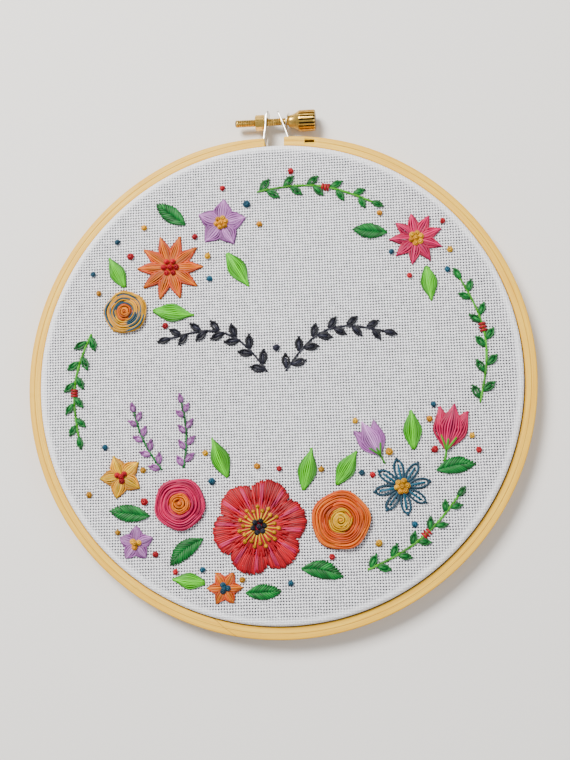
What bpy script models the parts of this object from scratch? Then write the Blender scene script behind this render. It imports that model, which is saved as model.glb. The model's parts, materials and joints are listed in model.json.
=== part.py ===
"""Hoop embroidery art: white cloth stretched in a two-ring wooden hoop that a brass thumbscrew closes.

Lengths are in metres. The hoop lies on its back: +Z is up out of the cloth and +Y points to the thumbscrew.
The origin is the bottom centre of the whole object's box.
"""

import math
from collections import namedtuple

import bmesh
import bpy
from mathutils import Matrix, Vector

MM = 0.001
MERGE = 0.00001

# Hoop and cloth
CLEARANCE = 0.3 * MM
HOOP_HEIGHT = 8.0 * MM
RING_STEPS = 72
INNER_HOOP_RADIUS = 76.2 * MM
INNER_HOOP_WALL = 4.0 * MM
INNER_HOOP_LIFT = 1.0 * MM
INNER_HOOP_CORNER = 1.2 * MM
CLOTH_THICKNESS = 1.0 * MM
CLOTH_BEND_STEPS = 3
CLOTH_HEM_Z = 0.8 * MM
OUTER_HOOP_BORE = INNER_HOOP_RADIUS + CLOTH_THICKNESS + 2 * CLEARANCE
OUTER_HOOP_WALL = 4.0 * MM
OUTER_HOOP_RADIUS = OUTER_HOOP_BORE + OUTER_HOOP_WALL
OUTER_HOOP_CORNER = 0.6 * MM
HOOP_SPLIT = 6.6 * MM
INNER_HOOP_TOP = INNER_HOOP_LIFT + HOOP_HEIGHT
CLOTH_UNDERSIDE = INNER_HOOP_TOP + CLEARANCE
CLOTH_TOP = CLOTH_UNDERSIDE + CLOTH_THICKNESS

# Staple window that shows in the front of the split end
WINDOW_LENGTH = 3.2 * MM
WINDOW_WIDTH = 0.8 * MM
WINDOW_DEPTH = 1.6 * MM
WINDOW_FROM_SPLIT = 8.7 * MM
WINDOW_ACROSS_WALL = 0.6

# Thumbscrew, nut and washer, turned about the screw's axis
SCREW_REACH = 5.9 * MM
ROD_RADIUS = 1.2 * MM
ROD_END_X = -13.5 * MM
ROD_TIP = 0.35 * MM
SHOULDER_X = 4.5 * MM
SHOULDER_RADIUS = 1.9 * MM
NECK_X = 7.2 * MM
NECK_RADIUS = 2.8 * MM
GRIP_X = 7.9 * MM
GRIP_END_X = 13.4 * MM
GRIP_RADIUS = 3.5 * MM
GRIP_EDGE = 0.45 * MM
FLUTES = 16
FLUTE_DEPTH = 0.35 * MM
NUT_X = -6.6 * MM
NUT_LENGTH = 3.1 * MM
NUT_ACROSS_FLATS = 4.5 * MM
NUT_CORNER = 0.98
NUT_TILT = math.radians(15)
WASHER_X = 3.85 * MM
WASHER_THICKNESS = 0.35 * MM
WASHER_RADIUS = 2.1 * MM
ROD_FIT = 0.3 * MM
BORE_POINTS = 24

# Steel ears: strips bent in plan, each with its foot in a slit in the outer hoop's end
EAR_THICKNESS = 0.55 * MM
EAR_WIDTH = 6.0 * MM
EAR_HOLE_RADIUS = 1.65 * MM
SLIT_DEPTH = 2.2 * MM
SLIT_FIT = 0.36 * MM
EAR_HOLE_REACH = 4.0 * MM
EarBend = namedtuple("EarBend", "along outward")
LEFT_EAR = (
    EarBend(-3.55 * MM, -1.8 * MM),
    EarBend(-3.50 * MM, 0.2 * MM),
    EarBend(-2.95 * MM, 3.3 * MM),
    EarBend(-2.85 * MM, 5.9 * MM),
    EarBend(-2.75 * MM, 7.1 * MM),
    EarBend(-2.10 * MM, 9.3 * MM),
)
RIGHT_EAR = (
    EarBend(4.55 * MM, -1.8 * MM),
    EarBend(4.45 * MM, 0.1 * MM),
    EarBend(2.35 * MM, 5.9 * MM),
    EarBend(1.05 * MM, 9.1 * MM),
)

HARDWARE_REACH = SCREW_REACH + GRIP_RADIUS
HOOP_CENTRE = Vector((0, -HARDWARE_REACH / 2, 0))
SCREW_AXIS = HOOP_CENTRE + Vector((0, OUTER_HOOP_RADIUS + SCREW_REACH, HOOP_HEIGHT / 2))

# Stitched relief, on the cloth's face
STITCH_BASE = CLOTH_TOP + CLEARANCE
STITCH_EDGE = 0.5 * MM
PATH_STEP = 0.001

COLOURS = {
    "wood": ((0.79, 0.58, 0.30), 0.6, 0.0),
    "cloth": ((0.83, 0.81, 0.81), 0.95, 0.0),
    "brass": ((0.78, 0.53, 0.22), 0.3, 1.0),
    "steel": ((0.72, 0.72, 0.70), 0.3, 1.0),
    "red": ((0.71, 0.03, 0.03), 0.7, 0.0),
    "orange": ((0.88, 0.20, 0.03), 0.7, 0.0),
    "mustard": ((0.86, 0.52, 0.06), 0.7, 0.0),
    "pink": ((0.72, 0.05, 0.20), 0.7, 0.0),
    "lavender": ((0.45, 0.25, 0.48), 0.7, 0.0),
    "emerald": ((0.02, 0.28, 0.06), 0.7, 0.0),
    "lime": ((0.22, 0.58, 0.06), 0.7, 0.0),
    "teal": ((0.01, 0.13, 0.22), 0.7, 0.0),
    "navy": ((0.012, 0.016, 0.035), 0.7, 0.0),
}


def clear_scene():
    """Removes what the file starts with."""
    for old in list(bpy.data.objects):
        bpy.data.objects.remove(old)


def material(name):
    """The Principled material of this name, made once."""
    made = bpy.data.materials.get(name)
    if made:
        return made
    colour, roughness, metallic = COLOURS[name]
    made = bpy.data.materials.new(name)
    made.use_nodes = True
    shader = made.node_tree.nodes["Principled BSDF"]
    shader.inputs["Base Color"].default_value = (*colour, 1.0)
    shader.inputs["Roughness"].default_value = roughness
    shader.inputs["Metallic"].default_value = metallic
    return made


def add_object(name, form, finish, place=(0, 0, 0), turn=0.0, smooth_below=40):
    """Turns a bmesh into a placed, smooth-shaded object with outward faces."""
    bmesh.ops.recalc_face_normals(form, faces=form.faces)
    mesh = bpy.data.meshes.new(name)
    form.to_mesh(mesh)
    form.free()
    mesh.shade_smooth()
    mesh.set_sharp_from_angle(angle=math.radians(smooth_below))
    obj = bpy.data.objects.new(name, mesh)
    obj.location = place
    obj.rotation_euler.z = turn
    mesh.materials.append(material(finish))
    bpy.context.scene.collection.objects.link(obj)
    return obj


def add_cutter(name, form, place=(0, 0, 0), turn=0.0):
    """An object that only cuts others."""
    cutter = add_object(name, form, "steel", place, turn)
    cutter.hide_render = True
    cutter.display_type = "WIRE"
    return cutter


def cut(obj, cutter):
    """Takes the cutter's volume out of the object."""
    boolean = obj.modifiers.new(cutter.name, "BOOLEAN")
    boolean.operation = "DIFFERENCE"
    boolean.solver = "EXACT"
    boolean.object = cutter


def loft(rings, close_ends=True):
    """A skin through rings of equally many points, each a list of vectors."""
    form = bmesh.new()
    loops = [[form.verts.new(point) for point in ring] for ring in rings]
    count = len(loops[0])
    for lower, upper in zip(loops, loops[1:]):
        for i in range(count):
            j = (i + 1) % count
            form.faces.new((lower[i], lower[j], upper[j], upper[i]))
    if close_ends:
        form.faces.new(loops[0])
        form.faces.new(loops[-1])
    return form


def box_form(size):
    """A box of this size about its own centre."""
    form = bmesh.new()
    bmesh.ops.create_cube(form, size=1.0)
    bmesh.ops.scale(form, vec=size, verts=form.verts)
    return form


def arc(centre, radius, start, end, steps):
    """Points (radius from the hoop's axis, height) on an arc, ends included, angles in degrees."""
    points = []
    for i in range(steps + 1):
        angle = math.radians(start + (end - start) * i / steps)
        points.append((centre[0] + radius * math.cos(angle), centre[1] + radius * math.sin(angle)))
    return points


def spin_profile(points, sweep=math.tau, start=0.0, ends="joined"):
    """Spins (radius, height) points about Z, in RING_STEPS steps for a full turn.

    A "joined" profile closes on itself, an "open" one starts and ends on the axis, and a "filled" one
    is spun through less than a full turn with a face at both ends.
    """
    form = bmesh.new()
    turned = Matrix.Rotation(start, 3, "Z")
    corners = [form.verts.new(turned @ Vector((r, 0, z))) for r, z in points]
    if ends == "filled":
        geometry = [form.faces.new(corners)]
    else:
        geometry = [form.edges.new(pair) for pair in zip(corners, corners[1:])]
    if ends == "joined":
        geometry.append(form.edges.new((corners[-1], corners[0])))
    bmesh.ops.spin(
        form,
        geom=geometry + corners,
        axis=(0, 0, 1),
        cent=(0, 0, 0),
        angle=sweep,
        steps=round(RING_STEPS * sweep / math.tau),
    )
    bmesh.ops.remove_doubles(form, verts=form.verts, dist=MERGE)
    return form


def rounded_ring_profile(bore, radius, bottom, top, corner, steps):
    """A ring's rectangular section with its four corners rounded."""
    profile = []
    profile += arc((bore + corner, bottom + corner), corner, 180, 270, steps)
    profile += arc((radius - corner, bottom + corner), corner, 270, 360, steps)
    profile += arc((radius - corner, top - corner), corner, 0, 90, steps)
    profile += arc((bore + corner, top - corner), corner, 90, 180, steps)
    return profile


def make_outer_hoop():
    """The split outer ring, with its ear slits and the staple window."""
    half_split = math.asin(HOOP_SPLIT / 2 / OUTER_HOOP_RADIUS)
    profile = rounded_ring_profile(
        OUTER_HOOP_BORE, OUTER_HOOP_RADIUS, 0, HOOP_HEIGHT, OUTER_HOOP_CORNER, steps=2
    )
    form = spin_profile(profile, math.tau - 2 * half_split, math.pi / 2 + half_split, "filled")
    hoop = add_object("outer_hoop", form, "wood", HOOP_CENTRE)
    for side, bends in (("left", LEFT_EAR), ("right", RIGHT_EAR)):
        slit_size = Vector((EAR_THICKNESS + 2 * SLIT_FIT, 2 * SLIT_DEPTH, EAR_WIDTH + 2 * CLEARANCE))
        at = HOOP_CENTRE + Vector((bends[0].along, OUTER_HOOP_RADIUS, HOOP_HEIGHT / 2))
        cut(hoop, add_cutter(f"slit_{side}", box_form(slit_size), at))
    angle = math.pi / 2 - (HOOP_SPLIT / 2 + WINDOW_FROM_SPLIT) / OUTER_HOOP_RADIUS
    middle = OUTER_HOOP_BORE + WINDOW_ACROSS_WALL * OUTER_HOOP_WALL
    at = HOOP_CENTRE + Vector((middle * math.cos(angle), middle * math.sin(angle), HOOP_HEIGHT))
    window = box_form(Vector((WINDOW_LENGTH, WINDOW_WIDTH, 2 * WINDOW_DEPTH)))
    cut(hoop, add_cutter("staple_window", window, at, angle - math.pi / 2))


def make_inner_hoop():
    """The unbroken inner ring that the cloth is stretched over."""
    profile = rounded_ring_profile(
        INNER_HOOP_RADIUS - INNER_HOOP_WALL,
        INNER_HOOP_RADIUS,
        INNER_HOOP_LIFT,
        INNER_HOOP_TOP,
        INNER_HOOP_CORNER,
        steps=2,
    )
    add_object("inner_hoop", spin_profile(profile), "wood", HOOP_CENTRE)


def make_cloth():
    """One sheet: a taut disc that turns down over the inner ring and ends between the rings."""
    bend_centre = (INNER_HOOP_RADIUS - INNER_HOOP_CORNER, INNER_HOOP_TOP - INNER_HOOP_CORNER)
    under = INNER_HOOP_CORNER + CLEARANCE
    over = under + CLOTH_THICKNESS
    profile = [(0, CLOTH_TOP)]
    profile += arc(bend_centre, over, 90, 0, CLOTH_BEND_STEPS)
    profile += [(bend_centre[0] + over, CLOTH_HEM_Z), (bend_centre[0] + under, CLOTH_HEM_Z)]
    profile += arc(bend_centre, under, 0, 90, CLOTH_BEND_STEPS)
    profile += [(0, CLOTH_UNDERSIDE)]
    add_object("cloth", spin_profile(profile, ends="open"), "cloth", HOOP_CENTRE)


def turned_ring(x, radius, flute=0.0, points=2 * FLUTES):
    """Points round the screw's axis at x, every second one drawn in by flute."""
    ring = []
    for i in range(points):
        angle = math.tau * i / points
        at = radius - (flute if i % 2 else 0.0)
        ring.append(Vector((x, at * math.cos(angle), at * math.sin(angle))))
    return ring


def make_thumbscrew():
    """Rod, shoulder, flared neck and fluted grip, one turned piece with its origin on its axis."""
    sections = (
        turned_ring(ROD_END_X, ROD_RADIUS - ROD_TIP),
        turned_ring(ROD_END_X + ROD_TIP, ROD_RADIUS),
        turned_ring(SHOULDER_X, ROD_RADIUS),
        turned_ring(SHOULDER_X, SHOULDER_RADIUS),
        turned_ring(NECK_X, NECK_RADIUS),
        turned_ring(GRIP_X, GRIP_RADIUS - FLUTE_DEPTH),
        turned_ring(GRIP_X + GRIP_EDGE, GRIP_RADIUS, FLUTE_DEPTH),
        turned_ring(GRIP_END_X - GRIP_EDGE, GRIP_RADIUS, FLUTE_DEPTH),
        turned_ring(GRIP_END_X, GRIP_RADIUS - GRIP_EDGE),
    )
    add_object("thumbscrew", loft(sections), "brass", SCREW_AXIS, smooth_below=30)


def tube_form(x, length, outer_ring, bore_radius):
    """A short turned piece with a bore along the screw's axis."""
    count = len(outer_ring(x))
    bore = [turned_ring(at, bore_radius, points=count) for at in (x + length, x)]
    rings = [outer_ring(x), outer_ring(x + length), *bore]
    form = loft([*rings, rings[0]], close_ends=False)
    bmesh.ops.remove_doubles(form, verts=form.verts, dist=MERGE)
    return form


def make_nut():
    """The hexagonal nut at the rod's end, one flat facing up and a little towards the hoop."""
    corner_radius = NUT_ACROSS_FLATS / math.sqrt(3)
    sixth = math.tau / 6

    def hexagon(x):
        """The nut's outline at x, its corners cut back."""
        ring = []
        for point in turned_ring(x, 1.0, points=BORE_POINTS):
            turn = math.atan2(point.y, point.z) + NUT_TILT
            from_flat = (turn + sixth / 2) % sixth - sixth / 2
            radius = min(NUT_ACROSS_FLATS / 2 / math.cos(from_flat), NUT_CORNER * corner_radius)
            ring.append(Vector((x, radius * point.y, radius * point.z)))
        return ring

    form = tube_form(NUT_X, NUT_LENGTH, hexagon, ROD_RADIUS + ROD_FIT)
    add_object("nut", form, "brass", SCREW_AXIS, smooth_below=20)


def make_washer():
    """The thin washer between the right ear and the screw's shoulder."""

    def outline(x):
        """The washer's edge at x."""
        return turned_ring(x, WASHER_RADIUS, points=BORE_POINTS)

    form = tube_form(WASHER_X, WASHER_THICKNESS, outline, ROD_RADIUS + ROD_FIT)
    add_object("washer", form, "steel", SCREW_AXIS, smooth_below=30)


def make_ear(side, bends):
    """A steel strip on edge: its foot sits in a slit and the screw passes through its hole."""
    points = [Vector((b.along, b.outward, 0)) for b in bends]
    half_width = EAR_WIDTH / 2
    sections = []
    for i, point in enumerate(points):
        ahead = points[min(i + 1, len(points) - 1)] - points[max(i - 1, 0)]
        across = Vector((ahead.y, -ahead.x, 0)).normalized() * EAR_THICKNESS / 2
        up = Vector((0, 0, half_width))
        sections.append([point + across + up, point - across + up, point - across - up, point + across - up])
    at = HOOP_CENTRE + Vector((0, OUTER_HOOP_RADIUS, HOOP_HEIGHT / 2))
    ear = add_object(f"ear_{side}", loft(sections), "steel", at, smooth_below=50)
    ends = (-EAR_HOLE_REACH, EAR_HOLE_REACH)
    hole = loft([turned_ring(x, EAR_HOLE_RADIUS, points=BORE_POINTS) for x in ends])
    cut(ear, add_cutter(f"ear_hole_{side}", hole, SCREW_AXIS + Vector((bends[-2].along, 0, 0))))


def radial_pad(name, finish, centre, turn, outline, crown, segments, fractions):
    """A raised motif over a plan seen from its middle.

    outline(angle) is its edge and crown(fraction, angle) its height.
    """
    form = bmesh.new()
    angles = [math.tau * i / segments for i in range(segments)]

    def ring(fraction, height):
        """The plan's outline shrunk to a fraction, each point at its height."""
        points = []
        for angle in angles:
            r = fraction * outline(angle)
            points.append(form.verts.new((r * math.cos(angle), r * math.sin(angle), height(angle))))
        return points

    base = ring(1.0, lambda angle: 0.0)
    loops = [base]
    for fraction in fractions:
        loops.append(ring(fraction, lambda angle, f=fraction: crown(f, angle)))
    for lower, upper in zip(loops, loops[1:]):
        for i in range(segments):
            j = (i + 1) % segments
            form.faces.new((lower[i], lower[j], upper[j], upper[i]))
    peak = form.verts.new((0, 0, crown(0.0, 0.0)))
    for i in range(segments):
        form.faces.new((loops[-1][i], loops[-1][(i + 1) % segments], peak))
    form.faces.new(base)
    place = HOOP_CENTRE + Vector((centre[0], centre[1], STITCH_BASE))
    add_object(name, form, finish, place, math.radians(turn), smooth_below=60)


def ribbon_pad(name, finish, centre, turn, path, left, right, crown, stations, lean=0.0):
    """A raised motif along path(s), with s from 0 to 1.

    left(s) and right(s) are its half widths and crown(s) its height.
    """
    sections = []
    for i in range(stations):
        s = i / (stations - 1)
        here = Vector(path(s))
        ahead = (Vector(path(min(s + PATH_STEP, 1))) - Vector(path(max(s - PATH_STEP, 0)))).normalized()
        normal = Vector((-ahead.y, ahead.x))
        low = min(STITCH_EDGE, crown(s))
        a = here + left(s) * (ahead * lean + normal)
        b = here + right(s) * (ahead * lean - normal)
        rib = [(a.x, a.y, 0), (a.x, a.y, low), (here.x, here.y, crown(s)), (b.x, b.y, low), (b.x, b.y, 0)]
        sections.append([Vector(p) for p in rib])
    place = HOOP_CENTRE + Vector((centre[0], centre[1], STITCH_BASE))
    add_object(name, loft(sections), finish, place, math.radians(turn), smooth_below=60)


# Woven-wheel roses: thread wound in a spiral over spokes
Rose = namedtuple("Rose", "name finish x y radius height")
ROSES = (
    Rose("rose_orange", "orange", 19.5 * MM, -45.5 * MM, 9.4 * MM, 2.8 * MM),
    Rose("rose_pink", "pink", -31.0 * MM, -39.5 * MM, 8.4 * MM, 2.8 * MM),
    Rose("rose_mustard", "mustard", -49.0 * MM, 22.8 * MM, 7.2 * MM, 2.4 * MM),
)
ROSE_COILS = 2.5
ROSE_RIDGE = 0.3 * MM
ROSE_SPOKES = 5
ROSE_WAVE = 0.03
ROSE_SEGMENTS = 18
ROSE_RINGS = (1.0, 0.9, 0.7, 0.45, 0.2)


def make_rose(rose):
    """A low dome whose top follows the coil of thread."""

    def crown(fraction, angle):
        """The dome with a ridge that coils to its middle."""
        dome = rose.height - STITCH_EDGE - ROSE_RIDGE
        coil = math.cos(math.tau * ROSE_COILS * fraction - angle) if fraction else 0.0
        return STITCH_EDGE + dome * (1 - fraction**3) ** 0.5 + ROSE_RIDGE * coil * (1 - fraction)

    def outline(angle):
        """A circle that swells a little between the spokes."""
        return rose.radius * (1 + ROSE_WAVE * math.cos(ROSE_SPOKES * angle))

    place = (rose.x, rose.y)
    radial_pad(rose.name, rose.finish, place, 0, outline, crown, ROSE_SEGMENTS, ROSE_RINGS)


# Flowers with petals round a raised middle
Flower = namedtuple("Flower", "name finish x y radius petals steps notch roundness height turn")
FLOWERS = (
    Flower("poppy_red", "red", -6.0 * MM, -47.0 * MM, 14.8 * MM, 6, 8, 0.20, 0.55, 2.2 * MM, 12),
    Flower("daisy_teal", "teal", 38.6 * MM, -35.4 * MM, 8.8 * MM, 8, 6, 0.42, 0.80, 1.8 * MM, 10),
    Flower("daisy_orange", "orange", -34.4 * MM, 37.2 * MM, 11.0 * MM, 10, 6, 0.40, 0.80, 1.8 * MM, 0),
    Flower("bellflower_lavender", "lavender", -17.4 * MM, 51.4 * MM, 8.2 * MM, 5, 8, 0.38, 0.7, 1.8 * MM, 12),
    Flower("star_mustard", "mustard", -50.0 * MM, -30.5 * MM, 7.0 * MM, 5, 8, 0.38, 0.70, 1.6 * MM, 40),
    Flower("daisy_pink", "pink", 45.5 * MM, 43.5 * MM, 8.4 * MM, 9, 6, 0.40, 0.80, 1.8 * MM, 20),
    Flower("star_orange", "orange", -17.0 * MM, -65.6 * MM, 5.4 * MM, 6, 6, 0.38, 0.75, 1.5 * MM, 0),
    Flower("star_lavender", "lavender", -45.2 * MM, -51.6 * MM, 5.6 * MM, 5, 8, 0.38, 0.70, 1.5 * MM, 18),
)
FLOWER_MIDDLE = 0.3
PETAL_HEIGHT = 0.6
PETAL_VALLEY = 0.6
PETAL_SLOPE = 3
FLOWER_RINGS = (1.0, 0.75, FLOWER_MIDDLE + 0.06, FLOWER_MIDDLE)


def make_flower(flower):
    """Petals that slope to the cloth at their tips, round a flat raised middle."""

    def ridge(angle):
        """1 along a petal's middle and 0 between two petals."""
        return abs(math.cos(flower.petals * angle / 2)) ** flower.roundness

    def outline(angle):
        """The petals' edge."""
        return flower.radius * (1 - flower.notch + flower.notch * ridge(angle))

    def crown(fraction, angle):
        """The middle's height, or the petals' that is lower between them."""
        if fraction <= FLOWER_MIDDLE:
            return flower.height
        petal_height = PETAL_HEIGHT * flower.height * (PETAL_VALLEY + (1 - PETAL_VALLEY) * ridge(angle))
        return STITCH_EDGE + (petal_height - STITCH_EDGE) * min(1.0, PETAL_SLOPE * (1 - fraction))

    place = (flower.x, flower.y)
    segments = flower.petals * flower.steps
    radial_pad(flower.name, flower.finish, place, flower.turn, outline, crown, segments, FLOWER_RINGS)


# Filled leaves, each from its foot to its tip
Leaf = namedtuple("Leaf", "name finish x y length width turn curl")
LEAVES = (
    Leaf("leaf_emerald_1", "emerald", 7.0 * MM, -60.0 * MM, 13 * MM, 5.4 * MM, -12, 0.08),
    Leaf("leaf_emerald_2", "emerald", -24.0 * MM, -50.5 * MM, 13 * MM, 5.4 * MM, -142, -0.08),
    Leaf("leaf_emerald_3", "emerald", 49.5 * MM, -30.5 * MM, 12 * MM, 5.0 * MM, 8, 0.05),
    Leaf("leaf_emerald_4", "emerald", -41.0 * MM, -43.0 * MM, 13 * MM, 5.2 * MM, 172, 0.0),
    Leaf("leaf_emerald_5", "emerald", -29.5 * MM, 51.5 * MM, 12 * MM, 5.2 * MM, 142, 0.0),
    Leaf("leaf_lime_1", "lime", 8.0 * MM, -35.5 * MM, 13 * MM, 5.4 * MM, 78, 0.05),
    Leaf("leaf_lime_2", "lime", 18.5 * MM, -34.0 * MM, 12 * MM, 5.2 * MM, 58, -0.05),
    Leaf("leaf_lime_3", "lime", -16.0 * MM, -31.0 * MM, 13 * MM, 5.4 * MM, 112, 0.05),
    Leaf("leaf_lime_4", "lime", -15.5 * MM, 41.0 * MM, 13 * MM, 5.4 * MM, -58, 0.0),
    Leaf("leaf_lime_5", "lime", -39.5 * MM, 23.0 * MM, 13 * MM, 5.4 * MM, -8, 0.0),
    Leaf("leaf_lime_6", "lime", 42.5 * MM, -23.5 * MM, 12 * MM, 5.2 * MM, 92, 0.05),
    Leaf("leaf_lime_7", "lime", 48.5 * MM, 34.0 * MM, 11 * MM, 4.8 * MM, -84, 0.0),
    Leaf("leaf_lime_8", "lime", -23.6 * MM, -63.8 * MM, 10 * MM, 4.6 * MM, 174, 0.0),
    Leaf("leaf_lime_9", "lime", -49.6 * MM, 31.6 * MM, 11 * MM, 4.6 * MM, 118, 0.0),
    Leaf("leaf_emerald_6", "emerald", 36.2 * MM, 46.0 * MM, 11 * MM, 4.8 * MM, 172, 0.0),
    Leaf("leaf_emerald_7", "emerald", -10.4 * MM, -67.2 * MM, 11 * MM, 4.6 * MM, 2, 0.0),
)
LEAF_TIP = 0.25 * MM
LEAF_HEIGHT = 1.4 * MM
LEAF_STATIONS = 8


def make_leaf(leaf):
    """A pointed leaf with a raised midrib."""

    def path(s):
        """The midrib."""
        return (leaf.length * s, leaf.curl * leaf.length * math.sin(math.pi * s))

    def swell(s, power):
        """0 at both ends and 1 between them, blunter for a lower power."""
        return math.sin(math.pi * s) ** power if 0 < s < 1 else 0.0

    def half_width(s):
        """The leaf's half width, greatest before its middle."""
        return LEAF_TIP + leaf.width / 2 * swell(s**0.85, 0.8)

    def crown(s):
        """The midrib's height."""
        return STITCH_EDGE + (LEAF_HEIGHT - STITCH_EDGE) * swell(s, 0.5)

    foot = (leaf.x, leaf.y)
    ribbon_pad(leaf.name, leaf.finish, foot, leaf.turn, path, half_width, half_width, crown, LEAF_STATIONS)


# Tulips: a cup of three petals
Tulip = namedtuple("Tulip", "name finish x y length turn")
TULIPS = (
    Tulip("tulip_pink", "pink", 54.0 * MM, -17.5 * MM, 15 * MM, 78),
    Tulip("tulip_lavender", "lavender", 29.5 * MM, -20.5 * MM, 12 * MM, 118),
)
TULIP_SIDE = 0.72
TULIP_FOOT = 0.6
TULIP_LOBES = 0.12
TULIP_HEIGHT = 1.7 * MM


def make_tulip(tulip):
    """A cup that narrows to its foot and ends in three points."""

    def outline(angle):
        """The cup's edge, its points ahead and its foot behind."""
        forward = 0.5 + 0.5 * math.cos(angle)
        lobes = TULIP_LOBES * forward * (math.cos(6 * angle) - 1) / 2
        side = (1 - TULIP_SIDE) * math.sin(angle) ** 2
        back = (1 - TULIP_FOOT) * (1 - forward) ** 2
        return tulip.length / 2 * (1 + lobes - side - back)

    def crown(fraction, angle):
        """A low dome."""
        return STITCH_EDGE + (TULIP_HEIGHT - STITCH_EDGE) * (1 - fraction**2)

    place = (tulip.x, tulip.y)
    radial_pad(tulip.name, tulip.finish, place, tulip.turn, outline, crown, 24, (1.0, 0.7, 0.35))


# Sprigs: a stem with pairs of leaves or buds along a bowed path
Sprig = namedtuple("Sprig", "name finish x y length bow pairs leaf turn")
SPRIGS = (
    Sprig("sprig_right", "emerald", 63.5 * MM, -9.5 * MM, 40 * MM, -0.12, 5, 2.4 * MM, 97.0),
    Sprig("sprig_low", "emerald", 27.5 * MM, -60.5 * MM, 36 * MM, -0.08, 5, 2.2 * MM, 38.0),
    Sprig("sprig_top", "emerald", -5.5 * MM, 61.5 * MM, 38 * MM, 0.10, 5, 2.4 * MM, -8.0),
    Sprig("sprig_left", "emerald", -60.5 * MM, 16.0 * MM, 34 * MM, -0.10, 5, 2.4 * MM, -96.0),
    Sprig("stalk_lavender_1", "lavender", -37.0 * MM, -28.5 * MM, 21 * MM, 0.06, 4, 1.8 * MM, 116.0),
    Sprig("stalk_lavender_2", "lavender", -30.0 * MM, -28.0 * MM, 21 * MM, -0.06, 4, 1.8 * MM, 92.0),
    Sprig("sprig_navy_left", "navy", -3.0 * MM, 2.0 * MM, 34 * MM, -0.22, 6, 2.5 * MM, 160.0),
    Sprig("sprig_navy_right", "navy", 3.0 * MM, 2.0 * MM, 34 * MM, 0.22, 6, 2.5 * MM, 20.0),
)
STEM_HALF = 0.55 * MM
SPRIG_HEIGHT = 1.0 * MM
SPRIG_LEAN = 0.5
SPRIG_STEPS = 6
SPRIG_TAPER = 0.35
SPRIG_OFFSET = 0.9


def make_sprig(sprig):
    """A bowed stem whose edges swell into leaves, those on the right a little behind those on the left."""

    def path(s):
        """The stem."""
        return (sprig.length * s, sprig.bow * sprig.length * math.sin(math.pi * s))

    def half_width(s, phase):
        """The stem's half width, or a leaf's reach."""
        wave = math.sin(math.tau * sprig.pairs * s + phase)
        return STEM_HALF + sprig.leaf * max(0.0, wave) ** 0.8 * (1 - SPRIG_TAPER * s)

    def left(s):
        """The reach to the left."""
        return half_width(s, 0.0)

    def right(s):
        """The reach to the right."""
        return half_width(s, -SPRIG_OFFSET)

    def crown(s):
        """The stem's height."""
        return SPRIG_HEIGHT

    stations = sprig.pairs * SPRIG_STEPS + 1
    start = (sprig.x, sprig.y)
    ribbon_pad(sprig.name, sprig.finish, start, sprig.turn, path, left, right, crown, stations, SPRIG_LEAN)


# Knots: thread wound into small beads
Knot = namedtuple("Knot", "name finish x y")
KNOTS = (
    Knot("knot_mustard_1", "mustard", 31.0 * MM, -52.5 * MM),
    Knot("knot_mustard_2", "mustard", 35.0 * MM, -24.5 * MM),
    Knot("knot_mustard_3", "mustard", -22.0 * MM, 40.5 * MM),
    Knot("knot_red_1", "red", 49.0 * MM, -24.0 * MM),
    Knot("knot_red_2", "red", -47.5 * MM, 41.5 * MM),
    Knot("knot_red_3", "red", -42.5 * MM, -38.5 * MM),
    Knot("knot_teal_1", "teal", -9.0 * MM, 57.5 * MM),
    Knot("knot_teal_2", "teal", -21.0 * MM, -32.5 * MM),
    Knot("knot_navy", "navy", 0.0, 9.5 * MM),
)
KNOT_RADIUS = 1.5 * MM
KNOT_HEIGHT = 1.9 * MM
KNOT_EDGE = 0.35


def make_knot(knot):
    """A bead with an upright edge and a domed top."""

    def outline(angle):
        """The bead's round edge."""
        return KNOT_RADIUS

    def crown(fraction, angle):
        """The domed top."""
        return KNOT_HEIGHT * (KNOT_EDGE + (1 - KNOT_EDGE) * math.sqrt(1 - fraction**2))

    place = (knot.x, knot.y)
    radial_pad(knot.name, knot.finish, place, 0, outline, crown, 10, (1.0, 0.75, 0.4))


def main():
    """Builds every piece."""
    clear_scene()
    make_outer_hoop()
    make_inner_hoop()
    make_cloth()
    make_thumbscrew()
    make_nut()
    make_washer()
    make_ear("left", LEFT_EAR)
    make_ear("right", RIGHT_EAR)
    for rose in ROSES:
        make_rose(rose)
    for flower in FLOWERS:
        make_flower(flower)
    for leaf in LEAVES:
        make_leaf(leaf)
    for tulip in TULIPS:
        make_tulip(tulip)
    for sprig in SPRIGS:
        make_sprig(sprig)
    for knot in KNOTS:
        make_knot(knot)


main()
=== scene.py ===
"""Looks of a stitched cloth stretched in a round wooden hoop, closed by a brass thumbscrew.

The hoop lies on its back. Lengths are in metres, +Z is up out of the cloth and +Y points to the thumbscrew.
"""

import json
import logging
import math
import random
from collections.abc import Callable, Mapping, Sequence
from dataclasses import dataclass, field, replace
from enum import Enum
from typing import ClassVar

import bmesh
import bpy
from mathutils import Matrix, Vector

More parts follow.
